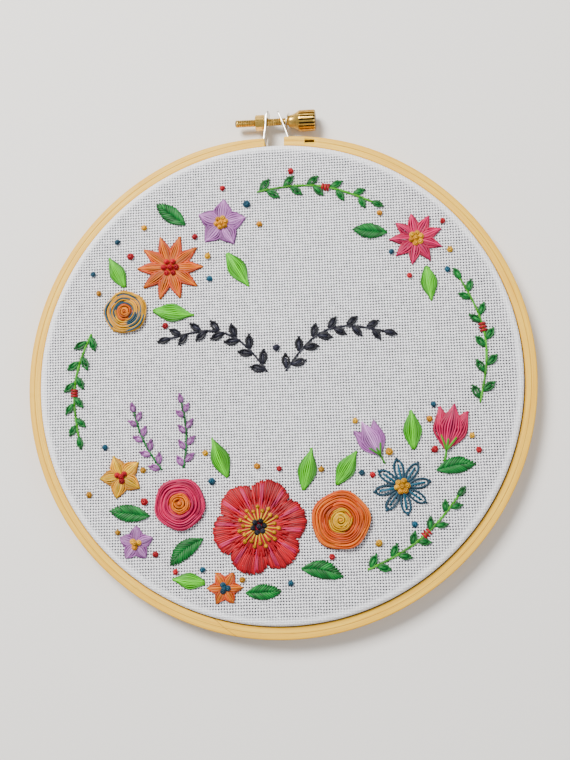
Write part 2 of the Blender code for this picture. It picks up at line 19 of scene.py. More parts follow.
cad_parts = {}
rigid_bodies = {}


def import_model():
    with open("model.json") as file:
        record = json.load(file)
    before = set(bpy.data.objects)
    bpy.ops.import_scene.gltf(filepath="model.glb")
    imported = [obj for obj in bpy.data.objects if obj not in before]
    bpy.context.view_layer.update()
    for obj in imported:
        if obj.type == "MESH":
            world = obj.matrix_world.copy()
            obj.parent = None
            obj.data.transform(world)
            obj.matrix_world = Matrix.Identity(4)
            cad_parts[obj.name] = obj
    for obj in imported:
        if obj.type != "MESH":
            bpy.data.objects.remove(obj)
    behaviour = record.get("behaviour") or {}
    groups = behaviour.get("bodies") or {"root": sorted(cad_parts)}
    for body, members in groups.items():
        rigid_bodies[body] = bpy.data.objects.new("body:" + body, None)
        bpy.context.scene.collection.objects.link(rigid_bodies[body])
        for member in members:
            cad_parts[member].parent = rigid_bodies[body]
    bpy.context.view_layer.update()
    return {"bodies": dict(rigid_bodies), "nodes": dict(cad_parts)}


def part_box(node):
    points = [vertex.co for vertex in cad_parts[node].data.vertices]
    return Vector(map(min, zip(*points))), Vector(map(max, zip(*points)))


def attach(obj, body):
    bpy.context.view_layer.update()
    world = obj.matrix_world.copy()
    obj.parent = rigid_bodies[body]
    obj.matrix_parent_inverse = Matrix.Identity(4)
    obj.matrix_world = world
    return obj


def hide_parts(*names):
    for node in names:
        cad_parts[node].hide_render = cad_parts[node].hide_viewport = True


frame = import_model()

MM = 0.001
CLOTH_TO_RING = 0.3 * MM
log = logging.getLogger("hoop")

Colour = tuple[float, float, float, float]
Point = tuple[float, float]


def linear(red: int, green: int, blue: int) -> Colour:
    """Turns a display colour of 0 to 255 into a shader's linear colour with full alpha."""
    shares = [value / 255 for value in (red, green, blue)]
    return (*(s / 12.92 if s <= 0.04045 else ((s + 0.055) / 1.055) ** 2.4 for s in shares), 1.0)


def operator(kind: str) -> Callable[..., "Signal"]:
    """A method that adds one Math node.

    Args:
        kind: The node's operation.

    Returns:
        The method.
    """

    def method(self: "Signal", *others: "Signal | float") -> "Signal":
        """The node's result."""
        return self.math(kind, *others)

    return method


class Signal:
    """A number socket that Python's operators work on."""

    def __init__(self, graph: "Graph", socket: bpy.types.NodeSocket) -> None:
        """Keeps the graph that new nodes go to, and one of its output sockets."""
        self.graph = graph
        self.socket = socket

    def math(self, kind: str, *others: "Signal | float") -> "Signal":
        """One Math node of this kind on this signal and its second and third values."""
        made = self.graph.node("ShaderNodeMath", {"operation": kind}, dict(enumerate((self, *others))))
        return Signal(self.graph, made.outputs[0])

    __add__ = __radd__ = operator("ADD")
    __sub__ = operator("SUBTRACT")
    __mul__ = __rmul__ = operator("MULTIPLY")
    __truediv__ = operator("DIVIDE")
    __pow__ = operator("POWER")
    __abs__ = operator("ABSOLUTE")

    def __rsub__(self, other: float) -> "Signal":
        """Other minus this."""
        return (self * -1.0) + other

    def at_least(self, other: "Signal | float") -> "Signal":
        """The larger of this and other."""
        return self.math("MAXIMUM", other)

    def smooth(self, low: float, high: float) -> "Signal":
        """A soft step.

        Args:
            low: Where it is 0.
            high: Where it is 1, above or below low.

        Returns:
            The step as a signal from 0 to 1.
        """
        turned = high < low
        limits = (high, low) if turned else (low, high)
        values = {"Value": self, "From Min": limits[0], "From Max": limits[1]}
        settings = {"interpolation_type": "SMOOTHSTEP"}
        step = self.graph.signal("ShaderNodeMapRange", settings, values, "Result")
        return 1.0 - step if turned else step


class Graph:
    """Adds nodes to one tree, of a material or of Geometry Nodes."""

    def __init__(self, tree: bpy.types.NodeTree) -> None:
        """Keeps the tree that the nodes go to."""
        self.tree = tree

    def node(
        self,
        kind: str,
        settings: Mapping[str, object] | None = None,
        inputs: Mapping[str | int, object] | None = None,
    ) -> bpy.types.Node:
        """Adds one node.

        Args:
            kind: The node's type.
            settings: Its properties, set first.
            inputs: Values, signals or sockets for its inputs, by name or index.

        Returns:
            The new node.
        """
        made = self.tree.nodes.new(kind)
        for key, value in (settings or {}).items():
            setattr(made, key, value)
        self.feed(made, inputs or {})
        return made

    def feed(self, node: bpy.types.Node, inputs: Mapping[str | int, object]) -> None:
        """Links signals and sockets to a node's inputs, and sets the other inputs' own values.

        Args:
            node: The node.
            inputs: Signals, sockets or plain values, by the input's name or index.
        """
        for key, value in inputs.items():
            source = value.socket if isinstance(value, Signal) else value
            if isinstance(source, bpy.types.NodeSocket):
                self.tree.links.new(source, node.inputs[key])
            else:
                node.inputs[key].default_value = source

    def signal(self, kind: str, settings: Mapping | None, inputs: Mapping, output: str) -> Signal:
        """Adds a node and returns its output of this name as a signal."""
        return Signal(self, self.node(kind, settings, inputs).outputs[output])

    def parts(self, vector: bpy.types.NodeSocket) -> tuple[Signal, Signal, Signal]:
        """A vector's X, Y and Z."""
        split = self.node("ShaderNodeSeparateXYZ", None, {0: vector})
        return tuple(Signal(self, split.outputs[axis]) for axis in "XYZ")

    def place(self) -> tuple[Signal, Signal, Signal]:
        """The surface point's X, Y and Z in the object's own coordinates."""
        return self.parts(self.node("ShaderNodeTexCoord").outputs["Object"])

    def vector(self, x: Signal | float, y: Signal | float, z: Signal | float = 0.0) -> bpy.types.NodeSocket:
        """Joins three numbers to a vector."""
        return self.node("ShaderNodeCombineXYZ", None, {"X": x, "Y": y, "Z": z}).outputs[0]

    def scaled(self, vector: bpy.types.NodeSocket, by: Signal) -> bpy.types.NodeSocket:
        """A vector or colour times a number."""
        inputs = {0: vector, "Scale": by}
        return self.node("ShaderNodeVectorMath", {"operation": "SCALE"}, inputs).outputs[0]

    def noise(self, vector: bpy.types.NodeSocket, scale: float, detail: float = 2.0) -> Signal:
        """Smooth noise from 0 to 1, with this many lumps to a unit and this many finer layers."""
        inputs = {"Vector": vector, "Scale": scale, "Detail": detail}
        return self.signal("ShaderNodeTexNoise", None, inputs, "Fac")

    def attribute(self, name: str) -> Signal:
        """A number stored on the mesh."""
        return self.signal("ShaderNodeAttribute", {"attribute_name": name}, {}, "Fac")

    def mix(self, factor: Signal | float, low: object, high: object) -> bpy.types.NodeSocket:
        """Mixes two colours, or sockets of colours: low at factor 0, high at 1."""
        return self.node("ShaderNodeMix", {"data_type": "RGBA"}, {0: factor, 6: low, 7: high}).outputs[2]

    def bump(self, height: Signal, distance: float, strength: float = 1.0) -> bpy.types.NodeSocket:
        """A normal bent by a height of about 0 to 1, where 1 is this distance, at a share of its strength."""
        inputs = {"Height": height, "Distance": distance, "Strength": strength}
        return self.node("ShaderNodeBump", None, inputs).outputs["Normal"]


@dataclass(frozen=True)
class Finish:
    """A surface finish that makes its material once."""

    name: str
    made: ClassVar[dict[str, bpy.types.Material]] = {}

    def material(self) -> bpy.types.Material:
        """The finish's material, made at its first use."""
        if self.name not in self.made:
            new = bpy.data.materials.new(f"{self.name}_finish")
            new.use_nodes = True
            self.dress(Graph(new.node_tree), new.node_tree.nodes["Principled BSDF"])
            self.made[self.name] = new
        return self.made[self.name]

    def dress(self, graph: Graph, shader: bpy.types.Node) -> None:
        """Adds the finish's nodes before the shader.

        Args:
            graph: The material's graph.
            shader: Its Principled BSDF node.
        """
        raise NotImplementedError


@dataclass(frozen=True)
class ThreadFinish(Finish):
    """Stranded cotton: soft sheen, painted shade between its strands and near the cloth, each stitch
    different.
    """

    colour: Colour
    second: Colour
    groove_shade: float = 0.34
    low_shade: float = 0.6
    stitch_shade: float = 0.38
    cloth_top: float = 10.2 * MM
    full_light_rise: float = 1.0 * MM
    light_share: float = 0.63
    fuzz_light: float = 0.21
    fuzz_scale: float = 2600.0
    fuzz_relief: float = 0.06 * MM

    def dress(self, graph: Graph, shader: bpy.types.Node) -> None:
        """Mixes the two dyes by tone, varies each stitch at random, then paints shade into its grooves and on
        what lies low.

        Args:
            graph: The material's graph.
            shader: Its Principled BSDF node.
        """
        x, y, z = graph.place()
        fuzz = graph.noise(graph.vector(x, y, z), self.fuzz_scale, 3.0)
        risen = z.smooth(self.cloth_top, self.cloth_top + self.full_light_rise)
        tone = (graph.attribute("tone") + (fuzz - 0.5) * 0.5).at_least(0.0)
        # Painted shade: darker in the grooves between the strands.
        light = self.groove_shade + (1.0 - self.groove_shade) * graph.attribute("groove")
        light = light * (1.0 + self.stitch_shade * graph.attribute("shade"))
        # Painted shade: darker where the thread lies low, near the cloth.
        light = light * (self.low_shade + (1.0 - self.low_shade) * risen)
        light = light * (self.light_share + self.fuzz_light * fuzz)
        looks = {
            "Base Color": graph.scaled(graph.mix(tone, self.colour, self.second), light),
            "Roughness": 0.42 + 0.2 * fuzz,
            "Normal": graph.bump(fuzz, self.fuzz_relief, 0.6),
            "Specular IOR Level": 0.28,
        }
        graph.feed(shader, looks)


@dataclass(frozen=True)
class WoodFinish(Finish):
    """Pale wood bent to a ring: grain runs round it, two plies show in its face, and a scarf joint; painted
    shade darkens the face towards its edges and inside the staple window.
    """

    name: str = "hoop_wood"
    pale: Colour = linear(236, 192, 54)
    warm: Colour = linear(218, 160, 26)
    # Painted shade inside the staple window.
    dark: Colour = linear(132, 84, 30)
    window_shade: Colour = linear(104, 60, 26)
    centre_y: float = 0.0
    ply_radius: float = 79.9 * MM
    middle: float = 79.9 * MM
    half: float = 2.4 * MM
    top: float = 11.0 * MM
    window: tuple[float, float, float, float] | None = None
    window_edge: float = 0.2 * MM
    joint_angle: float = math.radians(-12.5)
    joint_slant: float = 2.2
    waviness: float = 0.2 * MM
    line_offset: float = 0.1 * MM
    crack_drift: float = 1.2 * MM
    relief: float = 0.05 * MM

    def dress(self, graph: Graph, shader: bpy.types.Node) -> None:
        """Works out ring coordinates, with their seam at the split, draws the grain in them, and paints shade
        towards the face's edges and inside the window.

        Args:
            graph: The material's graph.
            shader: Its Principled BSDF node.
        """
        x, y, z = graph.place()
        off = y - self.centre_y
        radius = (x * x + off * off) ** 0.5
        angle = x.math("ARCTAN2", off * -1.0)
        run = angle * self.ply_radius

        def drawn_out(along: float, across: float, detail: float) -> Signal:
            """Noise stretched along the grain."""
            return graph.noise(graph.vector(run * along, radius * across, z * across), 1.0, detail)

        streak = drawn_out(55.0, 3400.0, 4.0)
        broad = drawn_out(14.0, 420.0, 2.0)
        pores = drawn_out(380.0, 7500.0, 1.0).smooth(0.66, 0.78)
        wavy = radius + broad * self.waviness
        outer_ply = wavy.smooth(self.ply_radius, self.ply_radius + 0.12 * MM)
        ply_line = abs(wavy - self.ply_radius - self.line_offset).smooth(0.16 * MM, 0.04 * MM)
        slant = (angle - self.joint_angle) * self.ply_radius - (radius - self.ply_radius) * self.joint_slant
        crack = abs(slant + (broad - 0.5) * self.crack_drift).smooth(0.2 * MM, 0.05 * MM)
        # Painted shade: the face turns warmer and darker towards both its edges, as a rounded face is shaded.
        edge = abs(radius - self.middle).smooth(0.45 * self.half, 0.95 * self.half)
        grain = graph.mix(streak.smooth(0.3, 0.72), self.pale, self.warm)
        # Random tone and the outer ply's own tone, with the painted edge shade.
        tone_and_edge_shade = graph.mix(broad.smooth(0.35, 0.8) * 0.3 + outer_ply * 0.14 + edge * 0.5, grain, self.warm)
        marked = graph.mix((pores * 0.35 + ply_line * 0.45).at_least(crack * 0.85), tone_and_edge_shade, self.dark)
        if self.window:
            at_x, at_y, half_x, half_y = self.window
            beside = abs(x - at_x).smooth(half_x + self.window_edge, half_x)
            beside = beside * abs(y - at_y).smooth(half_y + self.window_edge, half_y)
            # Painted shade: the staple window's inside darkens deeper in.
            inside = z.smooth(self.top - 0.06 * MM, self.top - 0.3 * MM) * beside
            marked = graph.mix(inside * 0.9, marked, self.window_shade)
        height = streak * 0.5 - pores * 0.6 - ply_line - crack * 1.5
        looks = {
            "Base Color": marked,
            "Roughness": 0.42 + 0.2 * streak,
            "Normal": graph.bump(height, self.relief, 0.8),
            "Specular IOR Level": 0.3,
        }
        graph.feed(shader, looks)


@dataclass(frozen=True)
class ClothFinish(Finish):
    """White plain weave with a small hole at each corner between its threads, drawn along its own map, with
    painted shade in the holes and on the threads' flanks and painted highlights on their crowns and on the
    turned edge.
    """

    name: str = "evenweave"
    across: float = 0.88 * MM
    along: float = 0.92 * MM
    upright_share: float = 0.272
    level_share: float = 0.318
    upright_slub: float = 0.3
    level_slub: float = 0.26
    mid_height: float = 0.62
    swell: float = 0.38
    relief: float = 0.22 * MM
    centre_y: float = 0.0
    turned_from: float = 74.4 * MM
    turned_at: float = 76.2 * MM
    # Painted highlight on the threads' crowns, painted shade on their flanks, and painted shade in the holes.
    light: Colour = linear(254, 253, 255)
    shaded: Colour = linear(178, 176, 182)
    hole: Colour = linear(10, 9, 9)

    def dress(self, graph: Graph, shader: bpy.types.Node) -> None:
        """Draws threads that pass over and under each other, each uneven along its length, and paints their
        shade and highlights.

        Args:
            graph: The material's graph.
            shader: Its Principled BSDF node.
        """

        def uneven(x: Signal, y: Signal) -> Signal:
            """Broad noise less its middle."""
            return graph.noise(graph.vector(x, y), 1.0, 2.0) - 0.5

        def rounded(place: Signal, half: Signal) -> tuple[Signal, Signal]:
            """How far a place is from its thread's middle, in half threads, and the thread's height there."""
            off = (place.math("FRACT") - 0.5) / half
            return off, (1.0 - off * off).at_least(0.0) ** 0.5

        u, v, _ = graph.parts(graph.node("ShaderNodeUVMap", {"uv_map": "weave"}).outputs[0])
        u, v = u / self.across, v / self.along
        u, v = u + uneven(u * 0.13, v * 0.9) * 0.5, v + uneven(u * 0.9, v * 0.13 + 40.0) * 0.5
        column, row = u.math("FLOOR"), v.math("FLOOR")
        slub_up = uneven(column * 7.31, v * 0.35)
        slub_side = uneven(u * 0.35, row * 5.77 + 90.0)
        half_up = self.upright_share + slub_up * self.upright_slub
        half_side = self.level_share + slub_side * self.level_slub
        off_column, round_up = rounded(u, half_up)
        off_row, round_side = rounded(v, half_side)
        over = ((column + row) * 0.5).math("FRACT").math("GREATER_THAN", 0.25) * 2.0 - 1.0
        swell_up = (off_row * half_side * math.pi).math("COSINE") * over
        swell_side = (off_column * half_up * math.pi).math("COSINE") * over
        height_up = round_up * (self.mid_height + self.swell * swell_up)
        height = height_up.at_least(round_side * (self.mid_height - self.swell * swell_side))
        x, y, _ = graph.place()
        off = y - self.centre_y
        # Painted highlight: where the cloth turns over the ring it is lit evenly, with no holes.
        turned = ((x * x + off * off) ** 0.5).smooth(self.turned_from, self.turned_at)
        # Painted shade where the threads lie low, near black in the holes; painted highlight on their crowns.
        thread = height.smooth(0.06, 0.46).at_least(turned * 0.85)
        crown_highlight = height.smooth(0.4, 0.95).at_least(turned * 0.8)
        body = graph.mix(crown_highlight * 0.8 + 0.3 * (slub_side + 0.5), self.shaded, self.light)
        looks = {
            "Base Color": graph.mix(thread, self.hole, body),
            "Normal": graph.bump(height, self.relief),
            "Roughness": 0.85,
            "Specular IOR Level": 0.25,
            "Sheen Weight": 0.1,
        }
        graph.feed(shader, looks)


@dataclass(frozen=True)
class MetalFinish(Finish):
    """Turned or rolled metal with fine marks and dull patches, with painted shade in the hollows round an
    axis.
    """

    bright: Colour
    dull: Colour
    polish: float
    marks: tuple[float, float, float]
    patching: float = 0.8
    axis: Point | None = None
    hollows: tuple[tuple[float, float, float, float], ...] = ()
    hollow_edge: float = 0.05 * MM
    # Painted shade in the hollows: its colour and how much of it is laid on.
    recess_shade: Colour = linear(58, 38, 18)
    recess_shade_share: float = 0.92
    patch_scale: float = 620.0
    relief: float = 0.012 * MM

    def dress(self, graph: Graph, shader: bpy.types.Node) -> None:
        """Breaks the shine with marks and patches, and paints shade into the hollows.

        Args:
            graph: The material's graph.
            shader: Its Principled BSDF node.
        """
        x, y, z = graph.place()
        marks = graph.noise(graph.vector(x * self.marks[0], y * self.marks[1], z * self.marks[2]), 1.0, 3.0)
        worn = graph.noise(graph.vector(x, y, z), self.patch_scale, 3.0).smooth(0.4, 0.75)
        colour = graph.mix(worn * self.patching, self.bright, self.dull)
        if self.axis:
            off_y, off_z = y - self.axis[0], z - self.axis[1]
            reach = (off_y * off_y + off_z * off_z) ** 0.5
            # Painted shade: dark brown deep in each hollow.
            for start, end, low, high in self.hollows:
                along = x.smooth(start - self.hollow_edge, start) * x.smooth(end + self.hollow_edge, end)
                recess_shade_mask = along * reach.smooth(high, low) * self.recess_shade_share
                colour = graph.mix(recess_shade_mask, colour, self.recess_shade)
        looks = {
            "Base Color": colour,
            "Roughness": self.polish + 0.14 * marks + 0.14 * worn,
            "Normal": graph.bump(marks, self.relief, 0.5),
            "Metallic": 1.0,
        }
        graph.feed(shader, looks)


@dataclass(frozen=True)
class FloorFinish(Finish):
    """A plain pale surface."""

    name: str = "pale_floor"
    colour: Colour = linear(226, 222, 216)
    tooth_scale: float = 900.0
    relief: float = 0.02 * MM

    def dress(self, graph: Graph, shader: bpy.types.Node) -> None:
        """Sets the colour, with a very faint tooth.

        Args:
            graph: The material's graph.
            shader: Its Principled BSDF node.
        """
        tooth = graph.noise(graph.vector(*graph.place()), self.tooth_scale)
        normal = graph.bump(tooth, self.relief, 0.3)
        graph.feed(shader, {"Base Color": self.colour, "Roughness": 0.8, "Normal": normal})


class Thread(Enum):
    """The threads in the work box."""

    RED = ThreadFinish("thread_red", linear(184, 3, 26), linear(222, 10, 36))
    CRIMSON = ThreadFinish("thread_crimson", linear(196, 4, 66), linear(216, 38, 96))
    ORANGE = ThreadFinish("thread_orange", linear(222, 72, 0), linear(232, 128, 8))
    MUSTARD = ThreadFinish("thread_mustard", linear(234, 150, 0), linear(244, 196, 8))
    PINK = ThreadFinish("thread_pink", linear(204, 4, 76), linear(228, 30, 104))
    LAVENDER = ThreadFinish("thread_lavender", linear(166, 90, 168), linear(212, 146, 214))
    EMERALD = ThreadFinish("thread_emerald", linear(8, 112, 38), linear(18, 140, 52))
    LIME = ThreadFinish("thread_lime", linear(64, 170, 0), linear(100, 222, 8))
    TEAL = ThreadFinish("thread_teal", linear(22, 72, 94), linear(20, 102, 130))
    NAVY = ThreadFinish("thread_navy", linear(22, 22, 33), linear(42, 42, 62))

    @property
    def slot(self) -> str:
        """The record's material slot of this thread."""
        return {"thread_crimson": "thread_red"}.get(self.value.name, self.value.name)


BRASS = MetalFinish(
    "screw_brass",
    linear(234, 190, 94),
    linear(146, 106, 48),
    polish=0.2,
    marks=(900.0, 5200.0, 5200.0),
    patching=0.55,
)
STEEL = MetalFinish(
    "ear_steel", linear(232, 228, 216), linear(168, 164, 154), polish=0.22, marks=(400.0, 3000.0, 6000.0)
)


@dataclass(frozen=True)
class Layout:
    """The hoop's place and main sizes, read from the CAD model's boxes."""

    centre: Vector
    outer_radius: float
    outer_bore: float
    inner_radius: float
    inner_bottom: float
    inner_top: float
    rim_top: float
    cloth_top: float
    cloth_radius: float
    cloth_hem: float
    screw_axis: Vector

    @classmethod
    def read(cls) -> "Layout":
        """Reads the boxes of the CAD nodes."""
        nodes = ("outer_hoop", "inner_hoop", "cloth", "thumbscrew")
        outer, inner, cloth, screw = boxes = [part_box(name) for name in nodes]
        outer_radius, inner_radius, cloth_radius = ((box[1].x - box[0].x) / 2 for box in boxes[:3])
        return cls(
            centre=Vector((0.0, (inner[0].y + inner[1].y) / 2, 0.0)),
            outer_radius=outer_radius,
            outer_bore=cloth_radius + CLOTH_TO_RING,
            inner_radius=inner_radius,
            inner_bottom=inner[0].z,
            inner_top=inner[1].z,
            rim_top=outer[1].z,
            cloth_top=cloth[1].z,
            cloth_radius=cloth_radius,
            cloth_hem=cloth[0].z,
            screw_axis=Vector((0.0, (screw[0].y + screw[1].y) / 2, (screw[0].z + screw[1].z) / 2)),
        )


def link(name: str, data: object) -> bpy.types.Object:
    """Puts a mesh, light or camera in the scene as an object at the origin.

    Args:
        name: The object's name.
        data: The mesh, light or camera.

    Returns:
        The object.
    """
    made = bpy.data.objects.new(name, data)
    bpy.context.scene.collection.objects.link(made)
    return made


def plain_mesh(name: str, form: bmesh.types.BMesh) -> bpy.types.Mesh:
    """Turns a bmesh, freed here, into a mesh.

    Args:
        name: The mesh's name.
        form: The bmesh.

    Returns:
        The mesh.
    """
    mesh = bpy.data.meshes.new(name)
    form.to_mesh(mesh)
    form.free()
    return mesh


def mesh_of(name: str, form: bmesh.types.BMesh, smooth_below: float = 40.0) -> bpy.types.Mesh:
    """Turns a bmesh into a smooth-shaded mesh with outward faces.

    Args:
        name: The mesh's name.
        form: The bmesh, freed here.
        smooth_below: Edges sharper than this many degrees stay crisp.

    Returns:
        The mesh.
    """
    bmesh.ops.remove_doubles(form, verts=form.verts, dist=1e-7)
    bmesh.ops.recalc_face_normals(form, faces=form.faces)
    mesh = plain_mesh(name, form)
    mesh.shade_smooth()
    mesh.set_sharp_from_angle(angle=math.radians(smooth_below))
    return mesh


def skinned(
    name: str, rings: Sequence[Sequence[Vector]], closed: bool, smooth_below: float = 40.0
) -> bpy.types.Mesh:
    """Skins rings of equally many points.

    Args:
        name: The mesh's name.
        rings: The rings in order.
        closed: Whether the last ring joins the first; otherwise both are filled.
        smooth_below: Edges sharper than this many degrees stay crisp.

    Returns:
        The mesh.
    """
    form = bmesh.new()
    loops = [[form.verts.new(point) for point in ring] for ring in rings]
    pairs = list(zip(loops, loops[1:]))
    if closed:
        pairs.append((loops[-1], loops[0]))
    for lower, upper in pairs:
        for i in range(len(lower)):
            j = (i + 1) % len(lower)
            form.faces.new((lower[i], lower[j], upper[j], upper[i]))
    if not closed:
        form.faces.new(loops[0])
        form.faces.new(loops[-1])
    return mesh_of(name, form, smooth_below)


def around(count: int) -> list[float]:
    """Equal steps of a whole turn."""
    return [math.tau * i / count for i in range(count)]


def evaluated(blank: bpy.types.Object, name: str) -> bpy.types.Mesh:
    """The plain mesh that an object's modifiers make.

    Args:
        blank: The object, removed afterwards with its modifiers.
        name: The mesh's name.

    Returns:
        The mesh.
    """
    bpy.context.view_layer.update()
    mesh = bpy.data.meshes.new_from_object(blank.evaluated_get(bpy.context.evaluated_depsgraph_get()))
    mesh.name = name
    blank.modifiers.clear()
    bpy.data.objects.remove(blank)
    return mesh


def worked(name: str, mesh: bpy.types.Mesh, *tools: tuple[str, Mapping[str, object]]) -> bpy.types.Mesh:
    """A mesh as modifiers leave it.

    Args:
        name: The new mesh's name.
        mesh: The mesh that they start from.
        tools: Each modifier's kind and its settings; an object among these is used up.

    Returns:
        The new mesh.
    """
    blank = link(f"{name}_blank", mesh)
    for kind, settings in tools:
        modifier = blank.modifiers.new(kind.lower(), kind)
        for key, value in settings.items():
            setattr(modifier, key, value)
    made = evaluated(blank, name)
    for _, settings in tools:
        if "object" in settings:
            bpy.data.objects.remove(settings["object"])
    return made


def cut_with(name: str, mesh: bpy.types.Mesh) -> tuple[str, dict[str, object]]:
    """A boolean modifier that cuts a form away.

    Args:
        name: The cutter's name.
        mesh: Its form, in place.

    Returns:
        The modifier's kind and settings.
    """
    cutter = link(name, mesh)
    cutter.hide_render = True
    return "BOOLEAN", {"operation": "DIFFERENCE", "solver": "EXACT", "object": cutter}


def finish(
    name: str, mesh: bpy.types.Mesh, material: bpy.types.Material, body: str, slot: str, *stands_for: str
) -> bpy.types.Object:
    """Args:
        name: The piece's name.
        mesh: Its mesh, in place.
        material: Its finish.
        body: The CAD body that it rides on.
        slot: The record's material slot; not used.
        stands_for: The CAD nodes that it replaces.

    Returns:
        The piece.
    """
    piece = link(name, mesh)
    mesh.materials.clear()
    mesh.materials.append(material)
    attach(piece, body)
    if stands_for:
        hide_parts(*stands_for)
    log.info("%s: %d faces", name, len(mesh.polygons))
    return piece


def corner(centre: Point, radius: float, start: float, steps: int) -> list[Point]:
    """Points round a quarter turn, from the start angle in degrees."""
    angles = [math.radians(start + 90 * i / steps) for i in range(steps + 1)]
    return [(centre[0] + radius * math.cos(angle), centre[1] + radius * math.sin(angle)) for angle in angles]


def rounded(
    low: float, high: float, bottom: float, top: float, radius: float, steps: int
) -> list[list[Point]]:
    """A rectangle's four rounded corners.

    Args:
        low: Its left side.
        high: Its right side.
        bottom: Its bottom.
        top: Its top.
        radius: Its corners' radius.
        steps: The steps of each corner.

    Returns:
        The points of each corner, anticlockwise from the lower left one.
    """
    inner, outer, under, over = low + radius, high - radius, bottom + radius, top - radius
    centres = ((inner, under), (outer, under), (outer, over), (inner, over))
    return [corner(centre, radius, start, steps) for centre, start in zip(centres, (180, 270, 0, 90))]


@dataclass
class WoodenHoop:
    """Both wooden rings, the outer one split at the thumbscrew."""

    layout: Layout
    steps: int = 300
    split: float = 6.6 * MM
    outer_corner: float = 0.45 * MM
    inner_corner: float = 1.2 * MM
    inner_wall: float = 4.0 * MM
    inner_ply: float = 74.4 * MM
    ply_share: float = 0.52
    groove_width: float = 0.16 * MM
    groove_depth: float = 0.06 * MM
    end_chamfer: float = 0.18 * MM
    smooth_below: float = 16.0
    window: tuple[float, float, float] = (3.2 * MM, 0.9 * MM, 2.0 * MM)
    window_from_split: float = 8.7 * MM
    window_turn: float = math.radians(-1.5)
    taper_reach: float = math.radians(26)
    right_taper: float = 0.75 * MM
    left_taper: float = 1.1 * MM
    slit: tuple[float, float, float] = (1.27 * MM, 4.4 * MM, 6.6 * MM)
    slit_places: tuple[float, float] = (-3.55 * MM, 4.55 * MM)

    def build(self) -> None:
        """Builds and dresses both rings."""
        layout = self.layout
        half = (layout.outer_radius - layout.outer_bore) / 2
        ply = layout.outer_bore + self.ply_share * (layout.outer_radius - layout.outer_bore)
        place = self._window_place()
        outer_wood = WoodFinish(
            centre_y=layout.centre.y,
            ply_radius=ply,
            middle=layout.outer_bore + half,
            half=half,
            top=layout.rim_top,
            window=(place.x, layout.centre.y + place.y, self.window[0] / 2, self.window[1] / 2),
        )
        inner_wood = WoodFinish(name="inner_hoop_wood", centre_y=layout.centre.y, ply_radius=self.inner_ply)
        finish("outer_ring", self.outer_mesh(ply), outer_wood.material(), "hoop", "wood", "outer_hoop")
        finish("inner_ring", self.inner_mesh(), inner_wood.material(), "hoop", "wood", "inner_hoop")

    def outer_mesh(self, ply: float) -> bpy.types.Mesh:
        """The split ring, with its slits, the staple window and the groove between its plies.

        Args:
            ply: The groove's radius.

        Returns:
            The mesh.
        """
        layout, top = self.layout, self.layout.rim_top
        corners = rounded(layout.outer_bore, layout.outer_radius, 0.0, top, self.outer_corner, 7)
        width = self.groove_width
        groove = [(ply + width, top), (ply, top - self.groove_depth), (ply - width, top)]
        profile = [*corners[0], *corners[1], *corners[2], *groove, *corners[3]]
        half_split = math.asin(self.split / 2 / layout.outer_radius)
        start = half_split + self.end_chamfer / layout.outer_radius
        span = math.tau - 2 * start
        angles = [half_split, start, *(start + span * i / self.steps for i in range(1, self.steps + 1))]
        angles.append(math.tau - half_split)
        rings = []
        for angle in angles:
            inset = self.end_chamfer if angle in (angles[0], angles[-1]) else 0.0
            rings.append([self._ring_point(angle, point, inset) for point in profile])
        blank = skinned("outer_ring_blank", rings, closed=False, smooth_below=self.smooth_below)
        cuts = [self._cut(self.slit, Vector((x, layout.outer_radius, top / 2))) for x in self.slit_places]
        length, width, depth = self.window
        cuts.append(self._cut((length, width, 2 * depth), self._window_place(), self.window_turn))
        return worked("outer_ring", blank, *cuts)

    def inner_mesh(self) -> bpy.types.Mesh:
        """The unbroken ring under the cloth."""
        layout = self.layout
        low, high = layout.inner_radius - self.inner_wall, layout.inner_radius
        corners = rounded(low, high, layout.inner_bottom, layout.inner_top, self.inner_corner, 4)
        profile = sum(corners, [])
        rings = [[self._ring_point(angle, point) for point in profile] for angle in around(self.steps)]
        return skinned("inner_ring", rings, closed=True)

    def _ring_point(self, angle: float, point: Point, inset: float = 0.0) -> Vector:
        """A profile point turned round the hoop, clockwise from the split.

        Args:
            angle: The turn from +Y.
            point: Radius and height.
            inset: How far the point is drawn towards the outer profile's middle.

        Returns:
            The point in place.
        """
        layout = self.layout
        inside = point[0] < (layout.outer_bore + layout.outer_radius) / 2
        below = point[1] < layout.rim_top / 2
        radius = point[0] + inset * (1 if inside else -1) - self._taper(angle, point[0])
        height = point[1] + inset * (1 if below else -1)
        return layout.centre + Vector((radius * math.sin(angle), radius * math.cos(angle), height))

    def _taper(self, angle: float, radius: float) -> float:
        """How far the outer ring's wall is drawn in near its two ends.

        Args:
            angle: The turn from +Y.
            radius: The point's own radius.

        Returns:
            The length to take off that radius.
        """
        layout = self.layout
        across = max(0.0, (radius - layout.outer_bore) / (layout.outer_radius - layout.outer_bore))
        right = max(0.0, 1 - angle / self.taper_reach)
        left = max(0.0, 1 - (math.tau - angle) / self.taper_reach)
        return across * (self.right_taper * right**2 + self.left_taper * left**2)

    def _cut(
        self, size: tuple[float, float, float], place: Vector, turn: float = 0.0
    ) -> tuple[str, dict[str, object]]:
        """A cut in the shape of a box.

        Args:
            size: The box's sides.
            place: Its middle, from the hoop's centre.
            turn: Its turn about Z.

        Returns:
            The boolean modifier's kind and settings.
        """
        form = bmesh.new()
        bmesh.ops.create_cube(form, size=1.0)
        bmesh.ops.scale(form, vec=size, verts=form.verts)
        bmesh.ops.rotate(form, matrix=Matrix.Rotation(turn, 3, "Z"), verts=form.verts)
        bmesh.ops.translate(form, vec=place + self.layout.centre, verts=form.verts)
        return cut_with("cutter", mesh_of("cutter", form))

